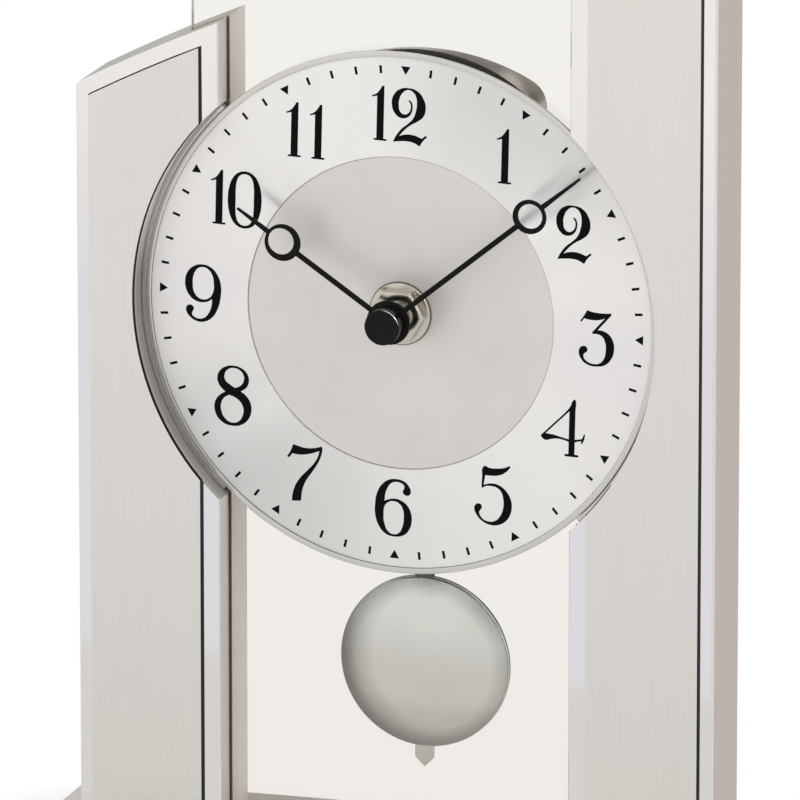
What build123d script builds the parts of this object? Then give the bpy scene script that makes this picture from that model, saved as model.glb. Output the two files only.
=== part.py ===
import os
from math import acos, cos, pi, radians, sin, sqrt, tan

from build123d import *

os.makedirs("parts", exist_ok=True)

# Desk pendulum clock. Millimetres, +Z up, front towards -Y.
# The origin is the middle of the footprint, on the surface that the clock stands on.
# The dial face lies in the plane Y = 0.

# Gaps shared by all pieces
over = 1.0
seat_gap = 0.05
run_gap = 0.05
free_gap = 0.3

# Base
base_margin = 9.2
base_mid_d = 59.0
base_end_d = 46.0
base_t = 12.0
base_edge = 0.8
foot_t = 1.5
foot_r = 6.0
foot_inset_x = 13.0
foot_inset_y = 9.0

# Pillars and the plates on their fronts
gap_w = 103.4
pillar_land = 16.8
block_d = 22.5
trim_t = 2.0
trim_edge = 0.3
plate_t = 1.2
plate_out_border = 4.0
plate_in_border = 5.3
plate_end_border = 4.5
corner_r = 1.0
dial_sink = 6.0
dial_rise = 153.0

# Sweep of the top, an arc whose centre is right of the dial and far below it
crown_r = 520.0
crown_x = 154.0
crown_drop = 396.7

# Screws that hold the pillars to the base
pillar_screw_r = 2.5
pillar_screw_head_r = 4.8
pillar_screw_head_t = 2.8
pillar_screw_grip = 14.0
pillar_screw_inset = 10.0
pillar_screw_pitch = 11.0

# Glass pane
pane_t = 3.0
pane_proud = 12.0
pane_edge_gap = 0.4
slot_depth = 11.0
slot_gap = 0.1
groove_d = 3.0
pane_hole_r = 4.5

# Dial
dial_r = 75.5
dial_t = 2.4
rim_w = 1.7
rim_proud = 0.3
rim_edge = 0.25
chapter_band = 30.3
chapter_t = 0.4
recess_gap = 1.5

# Centre fixing
bush_r = 4.0
bush_proud = 2.5
bush_flange_r = 6.0
bush_flange_t = 1.0
washer_r = 8.9
washer_t = 0.9
washer_edge = 0.3
nut_flats = 14.0
nut_t = 3.4
nut_edge = 0.6

# Hands
hand_t = 0.6
hour_hand_lift = 4.2
minute_hand_lift = 2.2
hour_deg = 303.4
minute_deg = 50.2
hour_tip_r = 53.1
hour_ring_r = 37.3
hour_ring_out_r = 5.3
hour_hub_r = 6.35
minute_tip_r = 73.1
minute_ring_r = 54.5
minute_ring_out_r = 4.9
minute_hub_r = 5.0
hand_stroke = 1.0
hand_shaft_w = 1.5
hand_point_w = 2.2
hand_tip_w = 0.5
cap_r = 5.1
cap_t = 3.4
cap_edge = 0.3

# Nested shafts
hour_pipe_r = 2.5
minute_arbor_r = 1.6
arbor_end_reach = 0.8

# Tray behind the pane, which carries the movement
tray_floor_t = 1.2
tray_wall = 2.0
tray_d = 14.2
tray_room = 2.5
tray_arc_r = 49.8
tray_arc_drop = 32.0
tray_corner_r = 5.0
tray_overhang = 3.0

# Rear cover, which tapers away from the tray
cover_wall = 1.5
cover_room = 1.6
cover_flare = 1.0
cover_arc_r = 72.0
cover_top_drop = 1.7
cover_corner_r = 9.0
cover_edge_r = 1.5
window_margin = 2.0
window_r = 3.0
cover_screw_r = 1.1
cover_screw_head_r = 2.0
cover_screw_head_t = 1.0
cover_boss_r = 2.2
cover_screw_grip = 6.0
cover_screw_drop = 10.3
cover_screw_rise = 15.0
cover_boss_bite = 0.3

# Movement case
case_step_in = 4.5
case_drop = 50.0
case_step_drop = 4.0
case_front_d = 7.0
case_wall = 1.2
case_corner_r = 3.0
case_boss_r = 1.9
case_screw_r = 0.9
case_screw_head_r = 1.6
case_screw_head_t = 0.9
case_screw_grip = 4.0
case_screw_inset = 3.0
partition_z = 34.0
bay_side_room = 3.75
bay_room = 1.55

# Battery, size AA, and its contacts
battery_r = 7.25
battery_len = 50.5
battery_nub_r = 2.75
battery_nub_t = 1.0
battery_gap = 0.3
contact_t = 0.5
contact_w = 9.0
leaf_t = 0.4
leaf_w = 5.0

# Gear train
tooth_share = 0.42
addendum_share = 0.8
dedendum_share = 1.15
pressure_deg = 20.0
train_start = 1.4
train_end = 2.0
wheel_t = 1.0
deck_gap = 0.8
pinion_extra = 0.2
pivot_r = 0.5
arbor_r = 0.9
pivot_reach = 0.8
cannon_teeth = 12
motion_teeth = 36
motion_pinion_teeth = 10
hour_teeth = 40
motion_module = 0.6
motion_deg = 60.0
centre_teeth = 60
third_pinion_teeth = 8
centre_module = 0.4
third_deg = -90.0
third_teeth = 64
rotor_teeth = 8
third_module = 0.35
rotor_deg = -30.0
rotor_r = 3.0
rotor_t = 2.0
rotor_bore_gap = 0.5

# Motor and circuit
stator_t = 1.2
stator_half_h = 4.2
stator_reach = 7.0
stator_w = 32.0
stator_leg_w = 3.5
stator_leg_rise = 12.0
stator_post_r = 1.5
coil_r = 2.5
coil_end_gap = 1.0
core_h = 3.0
core_t = 1.0
board_margin = 6.5
board_h = 13.0
board_t = 0.8
board_gap = 1.8
crystal_r = 1.0
crystal_len = 6.0
crystal_x = -14.0
chip_w = 5.0
chip_t = 1.0
chip_x = 14.0

# Setting knob
knob_r = 6.0
knob_t = 4.2
knob_flutes = 16
knob_flute_r = 0.6

# Pendulum and what drives it
knob_gap = 2.5
pivot_pin_r = 1.0
pivot_head_r = 1.8
pivot_head_t = 0.6
hanger_gap = 0.7
hanger_t = 2.2
hanger_hub_r = 3.5
hanger_arm_w = 5.0
magnet_r = 3.6
magnet_t = 1.0
magnet_seat_r = 5.0
hanger_step_gap = 0.4
tongue_t = 0.8
tongue_end = 3.6
peg_r = 1.0
peg_drop = 4.0
drive_coil_r = 4.5
drive_coil_t = 2.6
drive_coil_hole_r = 1.2
rod_w = 5.7
rod_t = 0.8
rod_top_gap = 0.4
rod_proud = 3.25
rod_point = 2.8
bob_drop = 107.6
bob_r = 25.15
bob_crown = 3.9
bob_edge_t = 0.8
bob_back_t = 1.2
bob_back_edge = 0.5

# Places that follow from the sizes above
base_top = foot_t + base_t
dial_z = base_top + dial_rise
pillar_in = gap_w / 2
recess_r = dial_r + recess_gap
pillar_out = recess_r + pillar_land
base_w = 2 * (pillar_out + base_margin)
trim_y = -dial_sink
plate_y = trim_y - plate_t
block_y = trim_y + trim_t
block_back = block_y + block_d
pane_y = dial_t
pane_back = pane_y + pane_t
slot_end = pillar_in + slot_depth
crown_z = dial_z - crown_drop
chapter_in_r = dial_r - chapter_band
bush_reach = washer_t + nut_t + bush_proud - chapter_t
hour_hand_y = -bush_reach - hour_hand_lift
minute_hand_y = hour_hand_y - minute_hand_lift
case_y = pane_back + tray_floor_t
case_joint = case_y + case_front_d
hour_deck = case_y + case_wall + train_start
motion_deck = hour_deck + wheel_t + deck_gap
centre_deck = motion_deck + wheel_t + deck_gap
third_deck = centre_deck + wheel_t + deck_gap
rotor_y = third_deck + wheel_t + deck_gap
case_back = rotor_y + rotor_t + train_end + case_wall
knob_y = case_back + free_gap
tray_back = pane_back + tray_d
cover_back = knob_y + knob_t + cover_room + cover_wall
battery_rise = partition_z + case_wall + bay_room + battery_r
case_top = battery_rise + battery_r + bay_room + case_wall
case_low = -case_drop
case_step = partition_z - case_step_drop
case_half_w = battery_len / 2 + bay_side_room
case_low_half_w = case_half_w - case_step_in
tray_half_w = case_half_w + tray_room + tray_wall
tray_arc_rise = case_top - tray_arc_drop
tray_drop = case_drop + tray_overhang
cover_half_w = tray_half_w + cover_flare
cover_arc_rise = tray_arc_rise + tray_arc_r - cover_top_drop - cover_arc_r
cover_screw_top = tray_arc_rise + tray_arc_r - cover_screw_drop
cover_screw_low = cover_screw_rise - tray_drop
cover_screw_x = tray_half_w - tray_wall - cover_boss_r + cover_boss_bite
window_low = -knob_r - window_margin
motion_r = motion_module * (cannon_teeth + motion_teeth) / 2
hour_module = 2 * motion_r / (hour_teeth + motion_pinion_teeth)
third_dist = centre_module * (centre_teeth + third_pinion_teeth) / 2
rotor_dist = third_module * (third_teeth + rotor_teeth) / 2
motion_x = motion_r * cos(radians(motion_deg))
motion_z = dial_z + motion_r * sin(radians(motion_deg))
third_x = third_dist * cos(radians(third_deg))
third_z = dial_z + third_dist * sin(radians(third_deg))
rotor_x = third_x + rotor_dist * cos(radians(rotor_deg))
rotor_z = third_z + rotor_dist * sin(radians(rotor_deg))
stator_right = rotor_x + stator_reach
stator_left = stator_right - stator_w
stator_leg_low = case_low + stator_leg_rise
coil_z = stator_leg_low + coil_r
board_w = 2 * (case_low_half_w - board_margin)
board_z = case_low + case_wall + board_gap + board_h / 2
magnet_z = case_low + case_wall + free_gap + drive_coil_r
pivot_z = -knob_r - knob_gap - hanger_hub_r
hanger_front = case_back + hanger_gap
hanger_step_z = magnet_z - magnet_seat_r - hanger_step_gap
peg_z = hanger_step_z - peg_drop
tongue_low = peg_z - tongue_end
rod_y = hanger_front + hanger_t - tongue_t - rod_t / 2
rod_shoulder = bob_drop + bob_r + rod_proud
rod_tip = rod_shoulder + rod_point


def slab(face, y0, y1):
    """A face drawn in front view, x to the right and z up, thickened from y0 back to y1."""
    return extrude(Plane.XZ.offset(-y1) * face, amount=y1 - y0, dir=(0, -1, 0))


def disc(x, z, r, y0, y1):
    return slab(Pos(x, z) * Circle(r), y0, y1)


def tube(x, z, r_out, r_in, y0, y1):
    return slab(Pos(x, z) * (Circle(r_out) - Circle(r_in)), y0, y1)


def block(x0, x1, y0, y1, z0, z1):
    """A box from its lowest to its highest corner."""
    middle = Pos((x0 + x1) / 2, (y0 + y1) / 2, (z0 + z1) / 2)
    return middle * Box(x1 - x0, y1 - y0, z1 - z0)


def front_edges(shape):
    return shape.edges().group_by(Axis.Y)[0]


def rear_edges(shape):
    return shape.edges().group_by(Axis.Y)[-1]


def under_crown(x0, x1, z0, rise):
    """The front view of a strip from z0 up to the crown arc, which rise lifts."""
    tall = 2 * crown_r
    strip = Pos((x0 + x1) / 2, z0 + tall / 2) * Rectangle(x1 - x0, tall)
    return strip & (Pos(crown_x, crown_z) * Circle(crown_r + rise))


def dial_opening(y0, y1):
    return disc(0, dial_z, recess_r, y0, y1)


def footprint():
    half = base_w / 2
    end = base_end_d / 2
    mid = base_mid_d / 2
    rear = ThreePointArc((-half, end), (0, mid), (half, end))
    front = ThreePointArc((half, -end), (0, -mid), (-half, -end))
    return make_face([rear, Line((half, end), (half, -end)), front, Line((-half, -end), (-half, end))])


def screw_places():
    """Where the pillar screws stand, two under each pillar."""
    mid_y = (block_y + block_back) / 2
    outer = pillar_out - pillar_screw_inset
    inner = outer - pillar_screw_pitch
    return [(side * x, mid_y) for side in (-1, 1) for x in (inner, outer)]


def make_base():
    body = Pos(0, 0, foot_t) * extrude(footprint(), amount=base_t)
    body = chamfer(body.edges().group_by(Axis.Z)[-1], base_edge)
    half = slot_end
    body -= block(-half, half, pane_y - slot_gap, pane_back + slot_gap, base_top - groove_d, base_top + over)
    for x, y in screw_places():
        body -= Pos(x, y, base_top) * Cylinder(pillar_screw_r + seat_gap, 2 * (base_t + over))
        cone = Cone(pillar_screw_head_r + seat_gap, pillar_screw_r + seat_gap, pillar_screw_head_t)
        body -= Pos(x, y, foot_t + pillar_screw_head_t / 2) * cone
    return body


def make_feet():
    x = base_w / 2 - foot_inset_x
    y = base_end_d / 2 - foot_inset_y
    pad = Cylinder(foot_r, foot_t)
    return [Pos(i * x, j * y, foot_t / 2) * pad for i in (-1, 1) for j in (-1, 1)]


def make_pillar_screws():
    screws = []
    for x, y in screw_places():
        length = base_t + pillar_screw_grip
        shank = Pos(x, y, foot_t + length / 2) * Cylinder(pillar_screw_r, length)
        head = Pos(x, y, foot_t + pillar_screw_head_t / 2) * Cone(
            pillar_screw_head_r, pillar_screw_r, pillar_screw_head_t
        )
        socket = extrude(RegularPolygon(pillar_screw_r / 2, 6), amount=pillar_screw_head_t / 2)
        screws.append(shank + head - Pos(x, y, foot_t) * socket)
    return screws


def pillar_face(side):
    """Front view of a pillar, side -1 for the left one and 1 for the right one."""
    x0, x1 = sorted((side * pillar_in, side * pillar_out))
    face = under_crown(x0, x1, base_top, 0)
    outer_top = face.vertices().filter_by(lambda v: v.Y > dial_z)
    outer_top = outer_top.sort_by(lambda v: -abs(v.X))[:1]
    return fillet(outer_top, corner_r)


def make_pillar(side):
    body = slab(pillar_face(side), block_y, block_back)
    x0, x1 = sorted((side * (pillar_in - over), side * slot_end))
    body -= block(x0, x1, pane_y - slot_gap, pane_back + slot_gap, base_top - over, dial_z + crown_r)
    body -= dial_opening(block_y - over, pane_y + seat_gap)
    for x, y in screw_places():
        if x * side > 0:
            hole = Cylinder(pillar_screw_r + seat_gap, 2 * (pillar_screw_grip + free_gap))
            body -= Pos(x, y, base_top) * hole
    return body


def make_trim(side):
    body = slab(pillar_face(side), trim_y, block_y)
    body = chamfer(front_edges(body), trim_edge)
    return body - dial_opening(trim_y - over, block_y + over)


def make_plate(side):
    x0, x1 = sorted((side * (pillar_in + plate_in_border), side * (pillar_out - plate_out_border)))
    face = under_crown(x0, x1, base_top + plate_end_border, -plate_end_border)
    return slab(face, plate_y, trim_y) - dial_opening(plate_y - over, trim_y + over)


def make_pane():
    half = slot_end - pane_edge_gap
    face = under_crown(-half, half, base_top - groove_d + seat_gap, pane_proud)
    return slab(face, pane_y, pane_back) - disc(0, dial_z, pane_hole_r, pane_y - over, pane_back + over)


def make_dial_rim():
    ring = tube(0, dial_z, dial_r, dial_r - rim_w, -rim_proud, dial_t)
    return chamfer(front_edges(ring), rim_edge)


def make_dial_plate():
    return tube(0, dial_z, dial_r - rim_w - seat_gap, bush_r + seat_gap, chapter_t, dial_t)


def make_chapter_ring():
    return tube(0, dial_z, dial_r - rim_w - seat_gap, chapter_in_r, 0, chapter_t)


def make_washer():
    ring = tube(0, dial_z, washer_r, bush_r + seat_gap, chapter_t - washer_t, chapter_t)
    return chamfer(front_edges(ring), washer_edge)


def make_nut():
    back = chapter_t - washer_t
    hexagon = Pos(0, dial_z) * RegularPolygon(nut_flats / 2, 6, major_radius=False)
    body = slab(hexagon, back - nut_t, back)
    corner_r_out = nut_flats / sqrt(3)
    blank = chamfer(front_edges(disc(0, dial_z, corner_r_out, back - nut_t, back)), nut_edge)
    body = body & blank
    return body - disc(0, dial_z, bush_r + seat_gap, back - nut_t - over, back + over)


def make_bushing():
    inside = case_y + case_wall
    body = tube(0, dial_z, bush_r, hour_pipe_r + run_gap, -bush_reach, inside + bush_flange_t)
    return body + tube(0, dial_z, bush_flange_r, hour_pipe_r + run_gap, inside, inside + bush_flange_t)


def hand_face(tip_r, ring_r, ring_out_r, hub_r, bore_r, turn_deg):
    """Front view of a hand that points up, turned clockwise about the dial's centre."""
    inner_end = ring_r - ring_out_r + hand_stroke / 2
    outer_end = ring_r + ring_out_r - hand_stroke / 2
    shaft = Pos(0, inner_end / 2) * Rectangle(hand_shaft_w, inner_end)
    ring = Pos(0, ring_r) * (Circle(ring_out_r) - Circle(ring_out_r - hand_stroke))
    corners = [
        (-hand_point_w / 2, outer_end),
        (hand_point_w / 2, outer_end),
        (hand_tip_w / 2, tip_r),
        (-hand_tip_w / 2, tip_r),
    ]
    point = make_face(Polyline(corners, close=True))
    face = Circle(hub_r) + shaft + ring + point
    face -= Circle(bore_r)
    return Pos(0, dial_z) * Rot(0, 0, -turn_deg) * face


def make_hour_hand():
    face = hand_face(hour_tip_r, hour_ring_r, hour_ring_out_r, hour_hub_r, hour_pipe_r + seat_gap, hour_deg)
    return slab(face, hour_hand_y, hour_hand_y + hand_t)


def make_minute_hand():
    bore = minute_arbor_r + seat_gap
    face = hand_face(minute_tip_r, minute_ring_r, minute_ring_out_r, minute_hub_r, bore, minute_deg)
    return slab(face, minute_hand_y, minute_hand_y + hand_t)


def make_hand_cap():
    back = minute_hand_y - seat_gap
    body = chamfer(front_edges(disc(0, dial_z, cap_r, back - cap_t, back)), cap_edge)
    return body - disc(0, dial_z, minute_arbor_r + seat_gap, back - arbor_end_reach - seat_gap, back + over)


def involute(r_base, r):
    """The turn, in radians, of an involute flank between its base circle and radius r."""
    a = acos(min(1.0, r_base / r))
    return tan(a) - a


def gear_face(module, teeth, tooth_deg):
    """Front view of a spur gear about the origin, with a tooth along tooth_deg."""
    r_pitch = module * teeth / 2
    r_base = r_pitch * cos(radians(pressure_deg))
    r_tip = r_pitch + addendum_share * module
    r_root = r_pitch - dedendum_share * module
    half = tooth_share * pi / teeth
    at_pitch = involute(r_base, r_pitch)
    low = max(r_base, r_root)
    radii = [low, r_pitch, r_tip]
    halves = [half + at_pitch - involute(r_base, r) for r in radii]
    flank = [(r_root, halves[0])] * (low > r_root) + list(zip(radii, halves))
    points = []
    for i in range(teeth):
        mid = radians(tooth_deg) + 2 * pi * i / teeth
        points += [(r * cos(mid - a), r * sin(mid - a)) for r, a in flank]
        points += [(r * cos(mid + a), r * sin(mid + a)) for r, a in reversed(flank)]
    return make_face(Polyline(points, close=True))


def gear(module, teeth, tooth_deg, x, z, y0, y1):
    return slab(Pos(x, z) * gear_face(module, teeth, tooth_deg), y0, y1)


def facing(deg, teeth):
    """Tooth angle of the second gear of a pair, whose gap faces back along deg."""
    return deg + 180 + 180 / teeth


def arbor(x, z):
    """A shaft across the case whose thin ends turn in its two walls."""
    front = case_y + case_wall
    back = case_back - case_wall
    shaft = disc(x, z, arbor_r, front + free_gap, back - free_gap)
    return shaft + disc(x, z, pivot_r, front - pivot_reach, back + pivot_reach)


def make_hour_wheel():
    tooth = facing(motion_deg + 180, hour_teeth)
    wheel = gear(hour_module, hour_teeth, tooth, 0, dial_z, hour_deck, hour_deck + wheel_t)
    pipe = disc(0, dial_z, hour_pipe_r, hour_hand_y - seat_gap, hour_deck + wheel_t)
    bore = minute_arbor_r + run_gap
    return wheel + pipe - disc(0, dial_z, bore, hour_hand_y - over, hour_deck + wheel_t + over)


def make_motion_wheel():
    tooth = facing(motion_deg, motion_teeth)
    y = motion_deck
    wheel = gear(motion_module, motion_teeth, tooth, motion_x, motion_z, y, y + wheel_t)
    pinion = gear(
        hour_module, motion_pinion_teeth, motion_deg + 180, motion_x, motion_z, hour_deck - pinion_extra, y
    )
    return wheel + pinion + arbor(motion_x, motion_z)


def make_minute_arbor():
    front = minute_hand_y - arbor_end_reach
    shaft = disc(0, dial_z, minute_arbor_r, front, knob_y + knob_t)
    y0 = motion_deck - pinion_extra
    y1 = motion_deck + wheel_t + pinion_extra
    return shaft + gear(motion_module, cannon_teeth, motion_deg, 0, dial_z, y0, y1)


def make_centre_wheel():
    y = centre_deck
    wheel = gear(centre_module, centre_teeth, third_deg, 0, dial_z, y, y + wheel_t)
    return wheel - disc(0, dial_z, minute_arbor_r + seat_gap, y - over, y + wheel_t + over)


def make_third_wheel():
    tooth = facing(third_deg, third_pinion_teeth)
    y = third_deck
    wheel = gear(third_module, third_teeth, rotor_deg, third_x, third_z, y, y + wheel_t)
    pinion = gear(
        centre_module, third_pinion_teeth, tooth, third_x, third_z, centre_deck - pinion_extra, y
    )
    return wheel + pinion + arbor(third_x, third_z)


def make_rotor():
    tooth = facing(rotor_deg, rotor_teeth)
    y0 = third_deck - pinion_extra
    pinion = gear(third_module, rotor_teeth, tooth, rotor_x, rotor_z, y0, rotor_y)
    magnet = disc(rotor_x, rotor_z, rotor_r, rotor_y, rotor_y + rotor_t)
    return pinion + magnet + arbor(rotor_x, rotor_z)


def make_stator():
    y0 = rotor_y + (rotor_t - stator_t) / 2
    y1 = y0 + stator_t
    high = rotor_z + stator_half_h
    low = rotor_z - stator_half_h
    body = block(stator_left, stator_right, y0, y1, low, high)
    leg_low = dial_z + stator_leg_low
    body += block(stator_left, stator_left + stator_leg_w, y0, y1, leg_low, low)
    body += block(stator_right - stator_leg_w, stator_right, y0, y1, leg_low, low)
    return body - disc(rotor_x, rotor_z, rotor_r + rotor_bore_gap, y0 - over, y1 + over)


def make_motor_coil():
    x0 = stator_left + stator_leg_w
    x1 = stator_right - stator_leg_w
    y = rotor_y + rotor_t / 2
    z = dial_z + coil_z
    core = block(x0, x1, y - core_t / 2, y + core_t / 2, z - core_h / 2, z + core_h / 2)
    length = x1 - x0 - 2 * coil_end_gap
    winding = Pos((x0 + x1) / 2, y, z) * Rot(0, 90, 0) * Cylinder(coil_r, length)
    return core + winding


def board_y():
    return case_y + case_wall + free_gap


def make_circuit_board():
    z = dial_z + board_z
    y = board_y()
    board = block(-board_w / 2, board_w / 2, y, y + board_t, z - board_h / 2, z + board_h / 2)
    half = chip_w / 2
    chip = block(chip_x - half, chip_x + half, y + board_t, y + board_t + chip_t, z - half, z + half)
    return board + chip


def make_crystal():
    y = board_y() + board_t + crystal_r
    return Pos(crystal_x, y, dial_z + board_z) * Rot(0, 90, 0) * Cylinder(crystal_r, crystal_len)


def rounded(half_w, low, high, corner):
    """Front view of a rounded rectangle, between two heights told from the dial's centre."""
    return Pos(0, dial_z + (low + high) / 2) * RectangleRounded(2 * half_w, high - low, corner)


def case_outline(inset):
    """The case is wide where the battery lies and narrow round the train."""
    corner = case_corner_r - inset / 2
    upper = rounded(case_half_w - inset, case_step + inset, case_top - inset, corner)
    return upper + rounded(case_low_half_w - inset, case_low + inset, partition_z + case_corner_r, corner)


def case_screw_places():
    x = case_low_half_w - case_screw_inset
    low = dial_z + case_low + case_screw_inset
    high = dial_z + partition_z - case_screw_inset
    return [(side * x, z) for side in (-1, 1) for z in (low, high)]


def train_places():
    return [(motion_x, motion_z), (third_x, third_z), (rotor_x, rotor_z)]


def make_case_front():
    y1 = case_joint
    inside = case_y + case_wall
    body = slab(case_outline(0), case_y, y1) - slab(case_outline(case_wall), inside, y1 + over)
    wide = case_half_w - case_wall / 2
    z = dial_z + partition_z
    body += block(-wide, wide, inside - case_wall / 2, y1, z, z + case_wall)
    for x, z in case_screw_places():
        body += disc(x, z, case_boss_r, inside - case_wall / 2, y1)
        body -= disc(x, z, case_screw_r + seat_gap, y1 - case_screw_grip - free_gap, y1 + over)
    for x, z in train_places():
        body -= disc(x, z, pivot_r + run_gap, inside - pivot_reach - seat_gap, inside + over)
    return body - disc(0, dial_z, bush_r + seat_gap, case_y - over, inside + over)


def make_case_rear():
    y0 = case_joint
    inside = case_back - case_wall
    body = slab(case_outline(0), y0, case_back) - slab(case_outline(case_wall), y0 - over, inside)
    wide = case_half_w - case_wall
    z = dial_z + partition_z
    bay_high = dial_z + case_top - case_wall
    body -= block(-wide, wide, y0 - over, case_back + over, z + case_wall, bay_high)
    body += block(-wide - case_wall / 2, wide + case_wall / 2, y0, inside + case_wall / 2, z, z + case_wall)
    for x, z in case_screw_places():
        body += disc(x, z, case_boss_r, y0, inside + case_wall / 2)
        body -= disc(x, z, case_screw_r + seat_gap, y0 - over, case_back + over)
    y = rotor_y + (rotor_t + stator_t) / 2
    leg_z = rotor_z - stator_half_h - stator_leg_w / 2
    for x in (stator_left + stator_leg_w / 2, stator_right - stator_leg_w / 2):
        body += disc(x, leg_z, stator_post_r, y, inside + case_wall / 2)
    for x, z in train_places():
        body -= disc(x, z, pivot_r + run_gap, inside - over, inside + pivot_reach + seat_gap)
    body -= disc(0, dial_z, minute_arbor_r + run_gap, inside - over, case_back + over)
    return body - disc(0, dial_z + pivot_z, pivot_pin_r + seat_gap, inside - over, case_back + over)


def make_case_screws():
    screws = []
    for x, z in case_screw_places():
        head = disc(x, z, case_screw_head_r, case_back, case_back + case_screw_head_t)
        screws.append(head + disc(x, z, case_screw_r, case_joint - case_screw_grip, case_back))
    return screws


def bay_end():
    return case_half_w - case_wall


def battery_x():
    """Middle of the cell, which lies close to the positive contact."""
    return bay_end() - contact_t - battery_gap - battery_len / 2


def battery_y():
    return case_y + case_wall + battery_gap + battery_r


def make_battery():
    """The cell lies along X, with its positive nub at the right."""
    can = Pos(-battery_nub_t / 2, 0, 0) * Rot(0, 90, 0) * Cylinder(battery_r, battery_len - battery_nub_t)
    can = chamfer(can.edges(), battery_gap)
    nub_x = (battery_len - battery_nub_t) / 2
    nub = Pos(nub_x, 0, 0) * Rot(0, 90, 0) * Cylinder(battery_nub_r, battery_nub_t)
    return Pos(battery_x(), battery_y(), dial_z + battery_rise) * (can + nub)


def make_contact(side):
    z = dial_z + battery_rise
    x0, x1 = sorted((side * bay_end(), side * (bay_end() - contact_t)))
    y0 = case_y + case_wall + seat_gap
    y1 = case_back - case_wall
    return block(x0, x1, y0, y1, z - contact_w / 2, z + contact_w / 2)


def make_minus_contact():
    """The negative contact carries a bent leaf that bulges towards the cell."""
    x_wall = contact_t - bay_end()
    x_tip = battery_x() - battery_len / 2 - battery_gap
    y0 = battery_y() - contact_w / 2
    y1 = battery_y() + contact_w / 2
    z0 = dial_z + battery_rise - leaf_w / 2
    outer = [(x_wall, y0), (x_tip, battery_y()), (x_wall, y1)]
    inner = [(x - leaf_t, y) for x, y in reversed(outer)]
    leaf = Pos(0, 0, z0) * make_face(Polyline(outer + inner, close=True))
    return make_contact(-1) + extrude(leaf, amount=leaf_w, dir=(0, 0, 1))


def make_tray_face(grow):
    """Front view of the tray's arch. Its low end is open, so an inner outline runs past it."""
    return arch(tray_half_w + grow, tray_arc_r + grow, tray_arc_rise, tray_corner_r + grow / 2, grow)


def make_cover_face(grow):
    return arch(cover_half_w + grow, cover_arc_r + grow, cover_arc_rise, cover_corner_r + grow, grow)


def arch(half_w, arc_r, arc_rise, corner, grow):
    """A straight-sided face with an arc for its top and rounded upper corners."""
    low = dial_z - tray_drop + min(grow, 0) * 2
    high = dial_z + arc_rise + sqrt(arc_r**2 - half_w**2)
    top = ThreePointArc((half_w, high), (0, dial_z + arc_rise + arc_r), (-half_w, high))
    left = Line((-half_w, high), (-half_w, low))
    foot = Line((-half_w, low), (half_w, low))
    face = make_face([top, left, foot, Line((half_w, low), (half_w, high))])
    return fillet(face.vertices().filter_by(lambda v: v.Y > dial_z), corner)


def cover_screw_places():
    low = dial_z + cover_screw_low
    return [(0, dial_z + cover_screw_top), (-cover_screw_x, low), (cover_screw_x, low)]


def make_tray():
    floor_back = pane_back + tray_floor_t
    body = slab(make_tray_face(0), pane_back, tray_back)
    body -= slab(make_tray_face(-tray_wall), floor_back, tray_back + over)
    for x, z in cover_screw_places():
        body += disc(x, z, cover_boss_r, floor_back - tray_floor_t / 2, tray_back)
        body -= disc(x, z, cover_screw_r + seat_gap, tray_back - cover_screw_grip - free_gap, tray_back + over)
    return body - disc(0, dial_z, bush_r + seat_gap, pane_back - over, floor_back + over)


def taper(grow_front, grow_back, y1):
    """A solid that runs from the tray's arch back to the cover's arch at y1."""
    front = Plane.XZ.offset(-tray_back) * make_tray_face(grow_front)
    back = Plane.XZ.offset(-y1) * make_cover_face(grow_back)
    return loft([front, back], ruled=True)


def make_rear_cover():
    body = taper(0, 0, cover_back)
    rear = rear_edges(body).sort_by(Axis.Z)[1:]
    body = fillet(rear, cover_edge_r)
    body -= taper(-cover_wall, -cover_wall, cover_back - cover_wall)
    window = rounded(case_half_w, window_low, case_top, window_r)
    body -= slab(window, cover_back - cover_wall - over, cover_back + over)
    for x, z in cover_screw_places():
        body += disc(x, z, cover_boss_r, tray_back, cover_back - cover_wall / 2)
        body -= disc(x, z, cover_screw_r + seat_gap, tray_back - over, cover_back + over)
        body -= disc(x, z, cover_screw_head_r + seat_gap, cover_back - cover_screw_head_t, cover_back + over)
    return body


def make_cover_screws():
    screws = []
    for x, z in cover_screw_places():
        head_y = cover_back - cover_screw_head_t
        head = disc(x, z, cover_screw_head_r, head_y, cover_back)
        screws.append(head + disc(x, z, cover_screw_r, tray_back - cover_screw_grip, head_y))
    return screws


def make_knob():
    face = Circle(knob_r)
    for i in range(knob_flutes):
        turn = 2 * pi * i / knob_flutes
        face -= Pos(knob_r * cos(turn), knob_r * sin(turn)) * Circle(knob_flute_r)
    face -= Circle(minute_arbor_r + seat_gap)
    return slab(Pos(0, dial_z) * face, knob_y, knob_y + knob_t)


def make_pivot_pin():
    z = dial_z + pivot_z
    inside = case_back - case_wall
    head_y = hanger_front + hanger_t + free_gap
    shaft = disc(0, z, pivot_pin_r, inside, head_y)
    return shaft + disc(0, z, pivot_head_r, head_y, head_y + pivot_head_t)


def make_drive_coil():
    y1 = case_back - case_wall - free_gap
    return tube(0, dial_z + magnet_z, drive_coil_r, drive_coil_hole_r, y1 - drive_coil_t, y1)


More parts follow.
